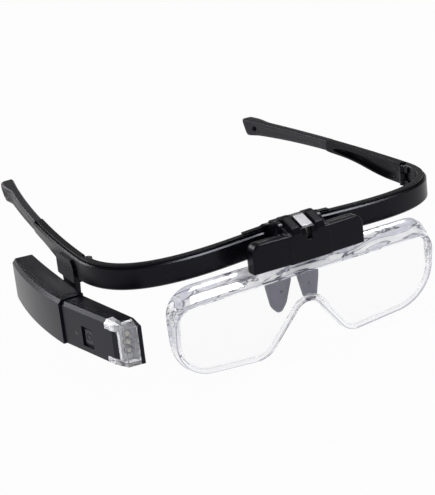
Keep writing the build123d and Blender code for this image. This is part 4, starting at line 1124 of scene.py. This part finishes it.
# %% [markdown]
# The lamp's button carries the common mark for power, a ring with a gap and a bar in it. It
# is raised a little, so it is a thin tape carried along an arc.

# %% Mark the button
face_rear_x = -87.2
face_tip = (-82.6, -13.6)
face_slope = (face_tip[0] - face_rear_x) / (lamp_seam_y - face_tip[1])
face_out = np.array([-1, -face_slope, 0]) / math.hypot(1, face_slope)
face_ahead = np.array([face_slope, -1, 0]) / math.hypot(1, face_slope)
button_at = (2.6, -18.3)
button_sunk = -0.6
mark_r = 1.35
mark_half = 0.24
mark_high = 0.10
bar_ends = (0.25, 1.75)


def tape(path, half, high):
    """A thin tape along a flat path: four corners at each point, closed at both ends."""
    along = np.gradient(path, axis=0)
    along /= np.linalg.norm(along, axis=1)[:, None]
    aside = np.stack([along[:, 1], -along[:, 0]], axis=1) * half
    corners = [(-1, 0), (-0.7, high), (0.7, high), (1, 0)]
    lines = [np.insert(path + reach * aside, 2, z, axis=1) for reach, z in corners]
    rings = np.stack(lines, axis=1)
    ends = [np.broadcast_to(end.mean(axis=0), (1, 4, 3)) for end in (rings[0], rings[-1])]
    return np.concatenate([ends[0], rings, ends[1]])


sweep = np.radians(np.linspace(125, 415, 49))
circle = mark_r * np.stack([np.cos(sweep), np.sin(sweep)], axis=1)
bar = np.stack([np.zeros(9), np.linspace(*bar_ends, 9)], axis=1)
seat = np.array([face_rear_x + (lamp_seam_y - button_at[0]) * face_slope, *button_at])
seat = seat + button_sunk * face_out
tapes = [tape(path, mark_half, mark_high) for path in (circle, bar)]
ways = (face_ahead, up_way, face_out)
marks = joined([(placed(rings, seat, *ways), ring_quads(rings)) for rings in tapes])
mark = make_piece("power_mark", "button", *marks, ["mark_black"], 30)

# %% [markdown]
# Behind the window are three small light sources. Each is a pale dome in a dark collar, and
# both are profiles turned round the way that the lamp shines.

# %% Set the domes
led_middle = (-77.475, -15.0, -16.2)
led_pitch = 3.1
dome_r, dome_foot, dome_high = 1.0, 0.4, 0.9
collar_r, collar_half = 1.28, (0.22, 0.3)
ahead = (left_way, up_way, (0, -1, 0))


def spun(profile, origin, ways, steps=48):
    """A profile of radius and height turned round an axis."""
    angle = full_turn(steps)
    radius, height = profile[:, :1], np.repeat(profile[:, 1:], steps, axis=1)
    rings = np.stack([radius * np.cos(angle), radius * np.sin(angle), height], axis=-1)
    return placed(rings, origin, *ways), ring_quads(rings)


def in_each_place(profile):
    """The same turned profile at all three light sources."""
    x, y, z = led_middle
    return joined([spun(profile, (x, y, z + step * led_pitch), ahead) for step in (-1, 0, 1)])


bow = np.linspace(0, math.pi / 2, 12)
dome = np.stack([dome_r * np.sin(bow), dome_foot + dome_high * np.cos(bow)], axis=1)
dome = np.concatenate([dome, [(dome_r, 0.0), (0.0, 0.0)]])
bend = np.linspace(0, 2 * math.pi, 17)
collar = [collar_r + collar_half[0] * np.cos(bend), collar_half[1] + collar_half[1] * np.sin(bend)]
domes = make_piece("led_domes", "lamp", *in_each_place(dome), ["source_yellow"], 50)
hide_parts("leds")
collar_body = in_each_place(np.stack(collar, axis=1))
collars = make_piece("led_collars", "lamp", *collar_body, ["washer_black"], 50)

# %% [markdown]
# Last, the size of what shows is printed beside the size of the imported model, so that the
# two can be compared.

# %% Print the sizes
boxes = {"cad": cad_box, "visual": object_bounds()}
for name, pair in boxes.items():
    print(name, "box in mm:", [[round(value / mm, 2) for value in corner] for corner in pair])
